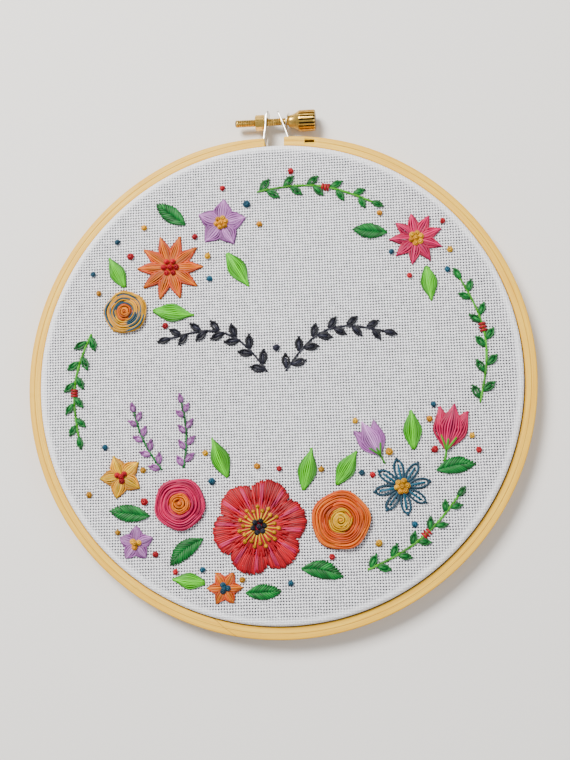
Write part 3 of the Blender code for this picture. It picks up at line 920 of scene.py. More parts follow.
    def _window_place(self) -> Vector:
        """The staple window's place from the hoop's centre, in the ring's front to the right of the split."""
        layout = self.layout
        angle = (self.split / 2 + self.window_from_split) / layout.outer_radius
        middle = (layout.outer_bore + layout.outer_radius) / 2
        return Vector((middle * math.sin(angle), middle * math.cos(angle), layout.rim_top))


@dataclass
class StretchedCloth:
    """The white cloth, drum tight over the inner ring and turned down between the rings."""

    layout: Layout
    thickness: float = 0.45 * MM
    inset: float = 0.02 * MM
    below_top: float = 0.12 * MM
    steps: int = 240
    rings: int = 44
    bend: float = 1.6 * MM
    bend_steps: int = 6
    skirt_steps: int = 5
    weave_turn: float = math.radians(-1.0)
    sag: float = 0.10 * MM
    cut_radius: float = 85.5 * MM

    def build(self) -> None:
        woven = ClothFinish(centre_y=self.layout.centre.y)
        piece = finish("woven_cloth", self.mesh(), woven.material(), "hoop", "cloth", "cloth")

    def section(self) -> list[tuple[float, float, float]]:
        """The cloth's upper line from its middle to its hem: radius, height and length along the cloth."""
        outer = self.layout.cloth_radius - self.inset
        top = self.layout.cloth_top - self.below_top
        flat_end = outer - self.bend
        line = [(flat_end * (i / self.rings) ** 0.85, top) for i in range(1, self.rings + 1)]
        for i in range(1, self.bend_steps + 1):
            angle = math.pi / 2 * i / self.bend_steps
            line.append((flat_end + self.bend * math.sin(angle), top - self.bend * (1 - math.cos(angle))))
        drop = top - self.bend - self.layout.cloth_hem
        for i in range(1, self.skirt_steps + 1):
            line.append((outer, top - self.bend - drop * i / self.skirt_steps))
        walked = line[0][0]
        section = [(*line[0], walked)]
        for before, here in zip(line, line[1:]):
            walked += math.hypot(here[0] - before[0], here[1] - before[1])
            section.append((*here, walked))
        return section

    def lie(self, x: float, y: float) -> float:
        """How far the taut cloth dips or swells.

        Args:
            x: The place across.
            y: The place up, towards the screw.

        Returns:
            The height to add, in metres.
        """
        wave = math.sin(x * 61.0 + 0.7) * math.cos(y * 53.0 - 0.4)
        wave += 0.5 * math.sin(x * 118.0 - y * 97.0 + 1.9)
        return self.sag * wave / 1.5

    def mesh(self) -> bpy.types.Mesh:
        """The cloth as a thin closed sheet with its weave map."""
        form = bmesh.new()
        weave = form.loops.layers.uv.new("weave")
        section = self.section()
        flat_end = section[self.rings - 1][0]
        placed: dict[bmesh.types.BMVert, Point] = {}

        def add(radius: float, height: float, walked: float, angle: float) -> bmesh.types.BMVert:
            """One point of the sheet, at a radius, height, length along the cloth and angle."""
            x, y = radius * math.cos(angle), radius * math.sin(angle)
            fade = max(0.0, 1.0 - (radius / flat_end) ** 6)
            vertex = form.verts.new(self.layout.centre + Vector((x, y, height + fade * self.lie(x, y))))
            turned = angle + self.weave_turn
            placed[vertex] = (walked * math.cos(turned), walked * math.sin(turned))
            return vertex

        centre = add(0.0, section[0][1], 0.0, 0.0)
        loops = [[add(*step, angle) for angle in around(self.steps)] for step in section]
        for i in range(self.steps):
            j = (i + 1) % self.steps
            form.faces.new((centre, loops[0][i], loops[0][j]))
            for inner, outer in zip(loops, loops[1:]):
                form.faces.new((inner[i], outer[i], outer[j], inner[j]))
        for face in form.faces:
            for loop in face.loops:
                loop[weave].uv = placed[loop.vert]
        mesh = plain_mesh("woven_cloth", form)
        mesh.shade_smooth()
        return worked("woven_cloth", mesh, ("SOLIDIFY", {"thickness": self.thickness, "offset": -1.0}))


@dataclass
class Hardware:
    """The thumbscrew, its nut and washer, and the two steel ears.

    The neck is a list of (place along the screw, radius), and an ear one of (place along the screw, distance
    outward from the hoop), all in millimetres.
    """

    layout: Layout
    segments: int = 228
    rod_radius: float = 1.28 * MM
    rod_end: float = -13.5 * MM
    rod_tip: float = 0.5 * MM
    thread_start: float = 0.45 * MM
    thread_pitch: float = 0.6 * MM
    thread_depth: float = 0.2 * MM
    thread_fade: float = 1.2 * MM
    shoulder_x: float = 4.5 * MM
    shoulder_radius: float = 1.9 * MM
    shoulder_chamfer: float = 0.12 * MM
    neck: tuple[Point, ...] = (
        (5.2, 2.06), (5.8, 2.2), (6.3, 2.38), (6.8, 2.62), (7.2, 2.86), (7.6, 3.1), (7.9, 3.3)
    )
    grip_x: float = 8.0 * MM
    grip_end: float = 13.6 * MM
    grip_radius: float = 3.5 * MM
    flutes: int = 19
    flute_depth: float = 0.75 * MM
    nut_x: float = -6.6 * MM
    nut_length: float = 3.1 * MM
    nut_across: float = 4.5 * MM
    nut_tilt: float = math.radians(22.5)
    nut_chamfer: float = 0.22 * MM
    nut_end_radius: float = 2.3 * MM
    nut_full_radius: float = 2.58 * MM
    nut_play: float = 0.06 * MM
    washer_x: float = 3.98 * MM
    washer_thickness: float = 0.26 * MM
    washer_radius: float = 2.85 * MM
    washer_soft: float = 0.08 * MM
    washer_play: float = 0.15 * MM
    washer_lean: float = 0.2
    ear_thickness: float = 0.42 * MM
    ear_width: float = 6.0 * MM
    ear_corner: float = 1.4 * MM
    ear_hole: float = 1.65 * MM
    ear_edge: float = 0.08 * MM
    ear_stations: int = 26
    left_ear: tuple[Point, ...] = (
        (-3.55, -1.8), (-3.50, 0.2), (-2.95, 3.3), (-2.85, 5.9), (-2.75, 7.1), (-2.10, 9.3)
    )
    right_ear: tuple[Point, ...] = ((4.55, -1.8), (4.45, 0.1), (2.35, 5.9), (1.05, 9.1))

    def build(self) -> None:
        """Builds and dresses all five pieces."""
        steel, axis = STEEL.material(), self.layout.screw_axis
        # The grip's flutes and the rod's thread valleys, where the brass gets painted shade.
        grip = (self.grip_radius - 0.65 * self.flute_depth, self.grip_radius - 0.2 * self.flute_depth)
        rod = (self.rod_radius - self.thread_depth, self.rod_radius - 0.3 * self.thread_depth)
        hollows = ((self.grip_x, self.grip_end, *grip), (self.rod_end, self.shoulder_x, *rod))
        brass = replace(BRASS, axis=(axis.y, axis.z), hollows=hollows).material()
        finish("fluted_screw", self.screw_mesh(), brass, "screw", "brass", "thumbscrew")
        finish("screw_nut", self.nut_mesh(), brass, "hoop", "brass", "nut")
        finish("thin_washer", self.washer_mesh(), steel, "hoop", "steel", "washer")
        finish("ear_strip_left", self.ear_mesh("left", self.left_ear), steel, "hoop", "steel", "ear_left")
        finish("ear_strip_right", self.ear_mesh("right", self.right_ear), steel, "hoop", "steel", "ear_right")

    def _turned(self, x: float, radius: Callable[[float], float]) -> list[Vector]:
        """Points round the screw's axis.

        Args:
            x: Their place along the axis.
            radius: The radius at each angle.

        Returns:
            The points.
        """
        ring = []
        for angle in around(self.segments):
            at = radius(angle)
            ring.append(self.layout.screw_axis + Vector((x, at * math.cos(angle), at * math.sin(angle))))
        return ring

    def _plain(self, x: float, radius: float) -> list[Vector]:
        """Points on a circle round the screw's axis."""
        return self._turned(x, lambda angle: radius)

    def screw_mesh(self) -> bpy.types.Mesh:
        """The whole screw: helical thread, shoulder, flared neck and fluted grip with rounded ends."""
        rings = []
        for degrees in (15, 30, 45, 60, 75):
            angle = math.radians(degrees)
            tip = self.rod_tip * (1 - math.sin(angle))
            rings.append(self._plain(self.rod_end + tip, self.rod_radius * (0.42 + 0.5 * math.cos(angle))))
        turns = (self.shoulder_x - self.rod_end - 2 * self.thread_start) / self.thread_pitch
        for i in range(int(turns * 4) + 1):
            x = self.rod_end + self.thread_start + i * self.thread_pitch / 4
            rings.append(self._turned(x, lambda angle, at=x: self._thread_radius(at, angle)))
        rings.append(self._plain(self.shoulder_x, self.rod_radius))
        rings.append(self._plain(self.shoulder_x, self.shoulder_radius - self.shoulder_chamfer))
        rings.append(self._plain(self.shoulder_x + self.shoulder_chamfer, self.shoulder_radius))
        rings += [self._plain(x * MM, radius * MM) for x, radius in self.neck]
        near_end = (0.0, 0.02, 0.045, 0.07, 0.1, 0.14, 0.3)
        for share in (*near_end, 0.5, *(1 - s for s in reversed(near_end))):
            x = self.grip_x + share * (self.grip_end - self.grip_x)
            rings.append(self._turned(x, lambda angle, s=share: self._grip_radius(s, angle)))
        rings.append(self._plain(self.grip_end + 0.02 * MM, 0.66 * self.grip_radius))
        rings.append(self._plain(self.grip_end - 0.1 * MM, 0.5 * self.grip_radius))
        return skinned("fluted_screw", rings, closed=False, smooth_below=50)

    def _thread_radius(self, x: float, angle: float) -> float:
        """The rod's radius where its thread winds past.

        Args:
            x: The place along the axis.
            angle: The turn about the axis.

        Returns:
            The radius.
        """
        phase = (x / self.thread_pitch + angle / math.tau) % 1.0
        fade = min(1.0, (x - self.rod_end) / self.thread_fade, (self.shoulder_x - x) / self.thread_fade)
        return self.rod_radius - self.thread_depth * fade * abs(2 * phase - 1)

    def _grip_radius(self, share: float, angle: float) -> float:
        """The grip's radius, with flutes that fade at its rounded ends.

        Args:
            share: The share of the grip's length.
            angle: The turn about the axis.

        Returns:
            The radius.
        """
        end = min(share, 1 - share)
        rounding = (0.12 if share < 0.5 else 0.5) * MM * max(0.0, 1 - end / 0.1) ** 2
        from_groove = abs(2 * ((self.flutes * angle / math.tau) % 1.0) - 1)
        length = min(1.0, max(0.0, (end - 0.02) / 0.05))
        width = 0.4 * math.sqrt(length)
        groove = min(1.0, max(0.0, (width + 0.1 - from_groove) / 0.2)) if length else 0.0
        return self.grip_radius - rounding - self.flute_depth * groove

    def nut_mesh(self) -> bpy.types.Mesh:
        """A hexagonal nut with chamfered ends, round the rod."""
        sixth = math.tau / 6

        def hexagon(angle: float, limit: float) -> float:
            """The hexagon's radius, cut back to the chamfer's limit."""
            from_flat = (angle + math.pi / 2 - self.nut_tilt + sixth / 2) % sixth - sixth / 2
            return min(self.nut_across / 2 / math.cos(from_flat), limit)

        start, end = self.nut_x, self.nut_x + self.nut_length
        edge, full, bore = self.nut_end_radius, self.nut_full_radius, self.rod_radius + self.nut_play
        sides = ((start, edge), (start + self.nut_chamfer, full), (end - self.nut_chamfer, full), (end, edge))
        rings = [self._turned(x, lambda angle, limit=limit: hexagon(angle, limit)) for x, limit in sides]
        rings += [self._plain(end, bore), self._plain(start, bore)]
        return skinned("screw_nut", rings, closed=True, smooth_below=25)

    def washer_mesh(self) -> bpy.types.Mesh:
        """A thin washer with softened edges, leaning on the screw."""
        start, end, soft = self.washer_x, self.washer_x + self.washer_thickness, self.washer_soft
        full, bore = self.washer_radius, self.rod_radius + self.washer_play
        outline = ((start, bore), (start, full - soft), (start + soft, full), (end - soft, full))
        outline = (*outline, (end, full - soft), (end, bore))
        rings = [self._plain(x, radius) for x, radius in outline]
        for point in sum(rings, []):
            point.x += self.washer_lean * (point.y - self.layout.screw_axis.y)
        return skinned("thin_washer", rings, closed=True, smooth_below=50)

    def ear_mesh(self, side: str, bends: Sequence[Point]) -> bpy.types.Mesh:
        """A strip with a round end and a hole, bent along its line.

        Args:
            side: Left or right, for the mesh's name.
            bends: The strip's line.

        Returns:
            The mesh.
        """
        layout = self.layout
        spine = self._spine([Vector((along * MM, outward * MM)) for along, outward in bends])
        lengths = [0.0]
        for here, ahead in zip(spine, spine[1:]):
            lengths.append(lengths[-1] + (ahead - here).length)
        reach = layout.screw_axis.y - layout.centre.y - layout.outer_radius
        hole = self._hole(self._length_at_outward(spine, lengths, reach))
        form = bmesh.new()
        half, end = self.ear_width / 2, lengths[-1]
        tip = rounded(0.0, end, -half, half, self.ear_corner, 6)
        flat = [(0.0, -half), *tip[1], *tip[2], (0.0, half)]
        form.faces.new([form.verts.new((s, -self.ear_thickness / 2, z)) for s, z in flat])
        grown = bmesh.ops.extrude_face_region(form, geom=list(form.faces))
        moved = [v for v in grown["geom"] if isinstance(v, bmesh.types.BMVert)]
        bmesh.ops.translate(form, vec=(0, self.ear_thickness, 0), verts=moved)
        edge = ("BEVEL", {"width": self.ear_edge, "segments": 2})
        cut = worked(f"ear_{side}", mesh_of("plate", form), hole, edge)
        form = bmesh.new()
        form.from_mesh(cut)
        for i in range(1, self.ear_stations):
            plane = Vector((end * i / self.ear_stations, 0, 0))
            geometry = [*form.verts, *form.edges, *form.faces]
            bmesh.ops.bisect_plane(form, geom=geometry, plane_co=plane, plane_no=(1, 0, 0), dist=1e-7)
        root = layout.centre + Vector((0, layout.outer_radius, layout.screw_axis.z))
        for vertex in form.verts:
            point, across = self._along_spine(spine, lengths, vertex.co.x)
            place = point + across * vertex.co.y
            vertex.co = root + Vector((place.x, place.y, vertex.co.z))
        return mesh_of(f"ear_strip_{side}", form, 35)

    @staticmethod
    def _spine(points: Sequence[Vector]) -> list[Vector]:
        """Rounds a bent line by cutting its corners twice.

        Args:
            points: The line.

        Returns:
            The rounder line, with the same ends.
        """
        line = list(points)
        for _ in range(2):
            softer = [line[0]]
            for here, ahead in zip(line, line[1:]):
                softer += [here.lerp(ahead, 0.25), here.lerp(ahead, 0.75)]
            line = [*softer, line[-1]]
        return line

    @staticmethod
    def _length_at_outward(spine: Sequence[Vector], lengths: Sequence[float], outward: float) -> float:
        """Finds the screw's hole on an ear.

        Args:
            spine: The ear's line.
            lengths: The length along it at each of its points.
            outward: The hole's distance from the hoop.

        Returns:
            The length along the spine at which it reaches that distance.
        """
        for i, (here, ahead) in enumerate(zip(spine, spine[1:])):
            if here.y <= outward <= ahead.y:
                share = (outward - here.y) / (ahead.y - here.y)
                return lengths[i] + share * (lengths[i + 1] - lengths[i])
        return lengths[-1]

    @staticmethod
    def _along_spine(spine: Sequence[Vector], lengths: Sequence[float], at: float) -> tuple[Vector, Vector]:
        """Follows an ear's line.

        Args:
            spine: The line.
            lengths: The length along it at each of its points.
            at: The length to go.

        Returns:
            The point there and the direction across the line.
        """
        last = len(spine) - 2
        i = next((i for i in range(last) if at <= lengths[i + 1]), last)
        share = (at - lengths[i]) / (lengths[i + 1] - lengths[i])
        ahead = (spine[min(i + 2, last + 1)] - spine[max(i - 1, 0)]).normalized()
        return spine[i].lerp(spine[i + 1], share), Vector((ahead.y, -ahead.x))

    def _hole(self, at: float) -> tuple[str, dict[str, object]]:
        """A round cut through the flat strip.

        Args:
            at: Its place along the strip.

        Returns:
            The boolean modifier's kind and settings.
        """
        ends = []
        for y in (-2 * MM, 2 * MM):
            radius = self.ear_hole
            ends.append([Vector((at + radius * math.cos(a), y, radius * math.sin(a))) for a in around(40)])
        return cut_with("hole", skinned("hole", ends, closed=False))


@dataclass
class Strand:
    """One length of thread: points in a motif's plan with heights over the cloth, and its look."""

    points: list[Vector]
    width: float
    shade: float
    tone: float


def polar(radius: float, degrees: float) -> Vector:
    """A point of the plan at a radius and an angle."""
    angle = math.radians(degrees)
    return Vector((radius * math.cos(angle), radius * math.sin(angle)))


def left_of(along: Vector) -> Vector:
    """The direction to the left of another in the plan."""
    return Vector((-along.y, along.x)).normalized()


class Stitching:
    """Collects the stitches of one thread in a motif's own plan."""

    def __init__(self, thread: float, seed: int) -> None:
        """Starts with no stitches.

        Args:
            thread: The thread's radius.
            seed: The seed of its unevenness.
        """
        self.thread = thread
        self.random = random.Random(seed)
        self.strands: list[Strand] = []

    def _uneven(self, by: float) -> float:
        """A random number up to by, either way."""
        return self.random.uniform(-by, by)

    def add(self, points: list[Vector], tone: float, width: float = 1.0) -> None:
        """Adds a strand with its own slight difference in width and shade."""
        self.strands.append(Strand(points, width * (1 + self._uneven(0.08)), self._uneven(1.0), tone))

    def lay(
        self,
        start: Vector,
        end: Vector,
        lift: float = 0.12 * MM,
        base: float = 0.0,
        bow: float = 0.0,
        width: float = 1.0,
        tone: float = 0.0,
        loose: float = 0.06 * MM,
    ) -> None:
        """Lays one straight or bowed stitch that dives into the cloth at both ends.

        Args:
            start: Where the thread comes up.
            end: Where it goes down.
            lift: How far its middle rises.
            base: The height of what it lies on.
            bow: How far its middle moves to its left.
            width: Its thickness as a share of the thread's.
            tone: From the first dye, 0, to the second, 1.
            loose: How far its ends may stray.
        """
        start = start + Vector((self._uneven(loose), self._uneven(loose)))
        end = end + Vector((self._uneven(loose), self._uneven(loose)))
        along = end - start
        side = left_of(along)
        dip = min(1.1 * self.thread / along.length, 0.28)
        rest = base + 0.75 * self.thread
        rising = ((0.0, -0.8 * self.thread), (0.45 * dip, base * 0.6 + 0.2 * self.thread), (dip, rest))
        middle = (0.5, rest + lift * (1 + self._uneven(0.4)))
        points = []
        for share, height in (*rising, middle, *((1 - share, height) for share, height in reversed(rising))):
            at = start + along * share + side * bow * math.sin(math.pi * share)
            points.append(Vector((at.x, at.y, height)))
        self.add(points, tone, width)

    def loop(self, foot: Vector, tip: Vector, half: float) -> None:
        """Lays a chain loop: out from its foot, round its tip and back, with a stitch that holds the tip.

        Args:
            foot: Where it starts and ends.
            tip: Where it turns.
            half: Half its width.
        """
        along = tip - foot
        side = left_of(along)
        rest = 0.8 * self.thread
        way = ((0.0, 0.08, -rest), (0.10, 0.30, rest * 0.8), (0.35, 0.85, rest))
        way = (*way, (0.65, 1.0, rest + 0.1 * MM), (0.88, 0.72, rest))
        points = []
        for share, reach, height in (*way, (1.0, 0.0, rest), *((s, -r, h) for s, r, h in reversed(way))):
            at = foot + along * share + side * half * reach
            points.append(Vector((at.x, at.y, height)))
        self.add(points, 0.0)
        ahead = along.normalized()
        self.lay(tip - ahead * 0.9 * self.thread, tip + ahead * 1.6 * self.thread, base=self.thread)

    def almond(
        self, foot: Vector, tip: Vector, half: float, count: int, fill: float, tones: Point, base: float = 0.0
    ) -> None:
        """Fills a pointed petal or leaf with long stitches that bow out from its middle.

        Args:
            foot: Where they all start.
            tip: Where they all end.
            half: Half the petal's width.
            count: How many stitches there are, two or more.
            fill: How much higher the middle ones are.
            tones: The tone at the edges and in the middle.
            base: The height of what they lie on.
        """
        along = tip - foot
        side = left_of(along)
        reaches = [2 * i / (count - 1) - 1 for i in range(count)]
        for reach in sorted(reaches, key=lambda reach: -abs(reach)):
            middle = 1 - abs(reach)
            spread = side * reach * self.thread * 0.9
            self.lay(
                foot + spread - along * 0.02 * self.random.random(),
                tip + spread * 0.6 - along * (0.08 * abs(reach) + 0.03 * self.random.random()),
                lift=0.1 * MM + fill * middle,
                base=base + 0.35 * fill * middle,
                bow=reach * half,
                tone=tones[0] + (tones[1] - tones[0]) * middle,
            )

    def fishbone(self, foot: Vector, tip: Vector, half: float, pitch: float, curl: float) -> None:
        """Fills a leaf with slanting stitches from its edges to its midrib, left and right in turn.

        Args:
            foot: The leaf's foot.
            tip: Its tip.
            half: Half its width.
            pitch: The distance between stitches.
            curl: How far the midrib bends to its left, as a share of its length.
        """
        along = tip - foot
        side = left_of(along)

        def rib(share: float) -> Vector:
            """A point of the midrib."""
            return foot + along * share + side * curl * along.length * math.sin(math.pi * share)

        count = max(4, round(along.length / pitch))
        self.lay(rib(0.72), rib(1.0), lift=0.1 * MM)
        for i in range(count, 0, -1):
            share = i / count
            swell = math.sin(math.pi * min(1.0, share * 0.94)) ** 0.75
            for sign in (1, -1):
                edge = rib(share * 0.9 + 0.04) + side * sign * half * max(0.25, swell)
                inner = rib(max(0.0, share - 0.26)) - side * sign * 0.35 * self.thread
                tone = 0.5 + 0.5 * self._uneven(1.0)
                self.lay(edge, inner, lift=0.3 * MM, base=0.12 * MM * swell, tone=tone)

    def run(self, points: Sequence[Vector], step: int, tone: float) -> None:
        """Sews along a line with stitches that follow each other.

        Args:
            points: The line.
            step: How many of its points each stitch spans.
            tone: The stitches' tone.
        """
        for here, ahead in zip(points[:-step:step], points[step::step]):
            back = (here - ahead).normalized() * 0.35 * self.thread
            self.lay(here + back, ahead, lift=0.08 * MM, tone=tone, loose=0.03 * MM)

    def wind(self, radius: float, height: float, start: float, sink: float, tones: Point) -> None:
        """Winds thread round and round in arcs that rise and fall round each turn as if over and under five
        spokes.

        Args:
            radius: The outer radius.
            height: The height in the middle.
            start: The radius of the innermost arc.
            sink: How far the arcs lie below that height.
            tones: The tone at the middle and at the edge.
        """
        pitch = 1.2 * self.thread
        for k in range(int((radius - self.thread - start) / pitch)):
            at = start + k * pitch
            edge = at / radius
            span = math.radians(self.random.uniform(250, 340))
            begin = self.random.uniform(0, math.tau)
            steps = max(9, round(span * at / (0.9 * MM)))
            drift = self._uneven(0.22 * MM)
            points = []
            for i in range(steps + 1):
                share = i / steps
                angle = begin + span * share
                tuck = min(1.0, min(share, 1 - share) / 0.1)
                weave = 0.3 * MM * math.cos(2.5 * angle + math.pi * k) * min(1.0, 0.4 + edge)
                rise = (height - sink - 2 * self.thread) * math.sqrt(max(0.0, 1 - edge**3.4)) + weave
                reach = at + 1.1 * pitch * share + drift * math.sin(math.pi * share)
                reach *= 1 + 0.03 * edge * math.cos(5 * angle)
                level = 0.75 * self.thread + max(0.0, rise) - (1 - tuck) ** 2 * 0.7 * MM
                points.append(Vector((reach * math.cos(angle), reach * math.sin(angle), level)))
            tone = tones[0] + (tones[1] - tones[0]) * edge
            self.add(points, min(1.0, max(0.0, tone + self._uneven(0.3))))


class ThreadTree:
    """Geometry Nodes that turn paths into threads of several strands, or points into wound knots."""

    inputs = {
        "Paths": "Geometry",
        "Thread radius": "Float",
        "Strands": "Int",
        "Groove depth": "Float",
        "Turns per metre": "Float",
        "Step": "Float",
        "Seed": "Int",
        "Material": "Material",
    }

    def __init__(self, name: str, knots: bool) -> None:
        """Builds the tree.

        Args:
            name: The tree's name.
            knots: Whether it sets knots on points.
        """
        self.tree = bpy.data.node_groups.new(name, "GeometryNodeTree")
        self.tree.is_modifier = True
        self.graph = Graph(self.tree)
        new_socket = self.tree.interface.new_socket
        self.identifiers = {
            title: new_socket(title, in_out="INPUT", socket_type=f"NodeSocket{kind}").identifier
            for title, kind in self.inputs.items()
        }
        new_socket("Threads", in_out="OUTPUT", socket_type="NodeSocketGeometry")
        self.given = self.graph.node("NodeGroupInput").outputs
        real = self._made("GeometryNodeRealizeInstances", {0: self._knots() if knots else self._threads()})
        dressed = self._made("GeometryNodeSetMaterial", {0: real, "Material": self.given["Material"]})
        self.graph.node("NodeGroupOutput", None, {0: dressed})

    def _made(
        self, kind: str, inputs: Mapping[str | int, object], settings: Mapping[str, object] | None = None
    ) -> bpy.types.NodeSocket:
        """The first output of a new node."""
        return self.graph.node(kind, settings, inputs).outputs[0]

    def _wanted(self, name: str) -> Signal:
        """One of the tree's number inputs."""
        return Signal(self.graph, self.given[name])

    def _width(self) -> Signal:
        """The width stored on the paths or points."""
        settings = {"data_type": "FLOAT"}
        return self.graph.signal("GeometryNodeInputNamedAttribute", settings, {"Name": "width"}, "Attribute")

    def _section(self) -> bpy.types.NodeSocket:
        """A round section with a groove between each two strands, its ridges stored for the finish to paint
        shade into the grooves.
        """
        graph = self.graph
        sides = {"Resolution": self._wanted("Strands") * 3.0, "Radius": 1.0}
        circle = self._made("GeometryNodeCurvePrimitiveCircle", sides)
        index = graph.signal("GeometryNodeInputIndex", None, {}, "Index")
        ridge = (0.5 - (index * (math.tau / 3)).math("COSINE") * 0.5) / 0.75
        reach = 1.0 - self._wanted("Groove depth") * (1.0 - ridge)
        drawn = graph.scaled(self._made("GeometryNodeInputPosition", {}), reach)
        section = self._made("GeometryNodeSetPosition", {0: circle, "Position": drawn})
        settings = {"data_type": "FLOAT", "domain": "POINT"}
        stored = {0: section, "Name": "groove", "Value": ridge}
        return self._made("GeometryNodeStoreNamedAttribute", stored, settings)

    def _swept(self, curve: bpy.types.NodeSocket, radius: Signal) -> bpy.types.NodeSocket:
        """Sweeps the section along a curve with its strands turning round each other.

        Args:
            curve: The curve.
            radius: The thread's radius along it.

        Returns:
            The smooth-shaded mesh.
        """
        length = self.graph.signal("GeometryNodeSplineParameter", None, {}, "Length")
        twist = length * self._wanted("Turns per metre") * math.tau
        turned = self._made("GeometryNodeSetCurveTilt", {0: curve, "Tilt": twist})
        sweep = {0: turned, 1: self._section(), "Scale": radius, "Fill Caps": True}
        return self._made("GeometryNodeSetShadeSmooth", {0: self._made("GeometryNodeCurveToMesh", sweep)})

    def _threads(self) -> bpy.types.NodeSocket:
        """Smooths the paths and sweeps a thread along each."""
        curve = self._made("GeometryNodeMeshToCurve", {"Mesh": self.given["Paths"]})
        smooth = self._made("GeometryNodeCurveSplineType", {0: curve}, {"spline_type": "CATMULL_ROM"})
        fine = self._made("GeometryNodeSetSplineResolution", {0: smooth, "Resolution": 8})
        even = {0: fine, "Length": self._wanted("Step")}
        curve = self._made("GeometryNodeResampleCurve", even, {"mode": "LENGTH"})
        return self._swept(curve, self._wanted("Thread radius") * self._width())

    def _knots(self) -> bpy.types.NodeSocket:
        """Winds one knot and sets it on each point, turned at random."""
        radius, size = self._wanted("Thread radius"), self._width()
        winding = {
            "Resolution": 16,
            "Rotations": 2.1,
            "Start Radius": radius * 0.5,
            "End Radius": radius * 2.0,
            "Height": radius * -2.3,
        }
        chance = {2: 0.0, 3: math.tau, "Seed": self._wanted("Seed")}
        spin = self.graph.node("FunctionNodeRandomValue", {"data_type": "FLOAT"}, chance)
        placed = {
            0: self._made("GeometryNodeMeshToPoints", {0: self.given["Paths"]}),
            "Instance": self._swept(self._made("GeometryNodeCurveSpiral", winding), radius),
            "Rotation": self.graph.vector(0.0, 0.0, Signal(self.graph, spin.outputs[1])),
            "Scale": self.graph.vector(size, size, size),
        }
        return self._made("GeometryNodeInstanceOnPoints", placed)

    def grow(
        self,
        points: Sequence[Vector],
        edges: Sequence[tuple[int, int]],
        columns: Mapping[str, Sequence[float]],
        values: Mapping[str, object],
    ) -> bpy.types.Mesh:
        """Makes threads or knots.

        Args:
            points: The paths' points, or the knots' places.
            edges: Pairs of point indices.
            columns: The numbers stored on the points, by name.
            values: The tree's inputs by name, set by identifier.

        Returns:
            The mesh.
        """
        mesh = bpy.data.meshes.new("paths")
        mesh.from_pydata(points, edges, [])
        for name, numbers in columns.items():
            mesh.attributes.new(name, "FLOAT", "POINT").data.foreach_set("value", list(numbers))
        carrier = link("paths", mesh)
        modifier = carrier.modifiers.new("threads", "NODES")
        modifier.node_group = self.tree
        for name, value in values.items():
            modifier[self.identifiers[name]] = value
        return evaluated(carrier, "threads")


@dataclass
class Layer:
    """The stitches or knots of one thread in a motif."""

    suffix: str
    thread: Thread
    stitching: Stitching | None = None
    knots: list[Vector] = field(default_factory=list)
    knot_thread: float = 0.42 * MM


@dataclass
class Motif:
    """One stitched motif at its place on the cloth. Its lengths are given in millimetres."""

    node: str
    x: float
    y: float
    turn: float
    lengths: ClassVar[tuple[str, ...]] = ()
    stands_for_node: ClassVar[bool] = True

    def __post_init__(self) -> None:
        """Turns its lengths into metres."""
        for name in ("x", "y", *self.lengths):
            setattr(self, name, getattr(self, name) * MM)

    def layers(self) -> list[Layer]:
        """The motif's layers; the first stands for the CAD node."""
        raise NotImplementedError

    def seed(self) -> int:
        """A fixed seed from the motif's name."""
        return sum(ord(letter) * (i + 1) for i, letter in enumerate(self.node))

    def sewing(self, thread: float, order: int = 0) -> Stitching:
        """No stitches yet, for the motif's first, second or third thread of a radius in millimetres."""
        return Stitching(thread * MM, self.seed() + order)


@dataclass
class Rose(Motif):
    """A woven-wheel rose with a knot at its heart."""

    radius: float
    height: float
    thread: Thread
    heart: Thread
    flecks: Thread | None = None
    lengths = ("radius", "height")

    def layers(self) -> list[Layer]:
        """An outer winding over an underlay, a lighter inner one and the heart's knot."""
        radius, height = self.radius, self.height
        outer, inner = self.sewing(0.3), self.sewing(0.28, 1)
        for sink in (1.2 * MM, 0.85 * MM, 0.55 * MM):
            outer.wind(radius, height, 0.3 * radius, sink, (0.0, 0.2))
        outer.wind(radius, height, 0.42 * radius, 0.0, (0.1, 0.5))
        inner.wind(0.46 * radius, height - 0.3 * MM, 0.5 * MM, 0.4 * MM, (0.2, 0.3))
        inner.wind(0.48 * radius, height + 0.25 * MM, 0.6 * MM, 0.0, (0.9, 0.3))
        made = [Layer("petals", self.thread, outer), Layer("middle", self.heart, inner)]
        if self.flecks:
            flecks = self.sewing(0.28, 2)
            flecks.wind(radius * 0.99, height + 0.1 * MM, 0.36 * radius, 0.05 * MM, (0.2, 0.6))
            flecks.strands = flecks.strands[::2]
            made.append(Layer("flecks", self.flecks, flecks))
        heart = [Vector((0.0, 0.0, height - 0.9 * MM))]
        return [*made, Layer("heart", self.heart, None, heart, 0.34 * MM)]


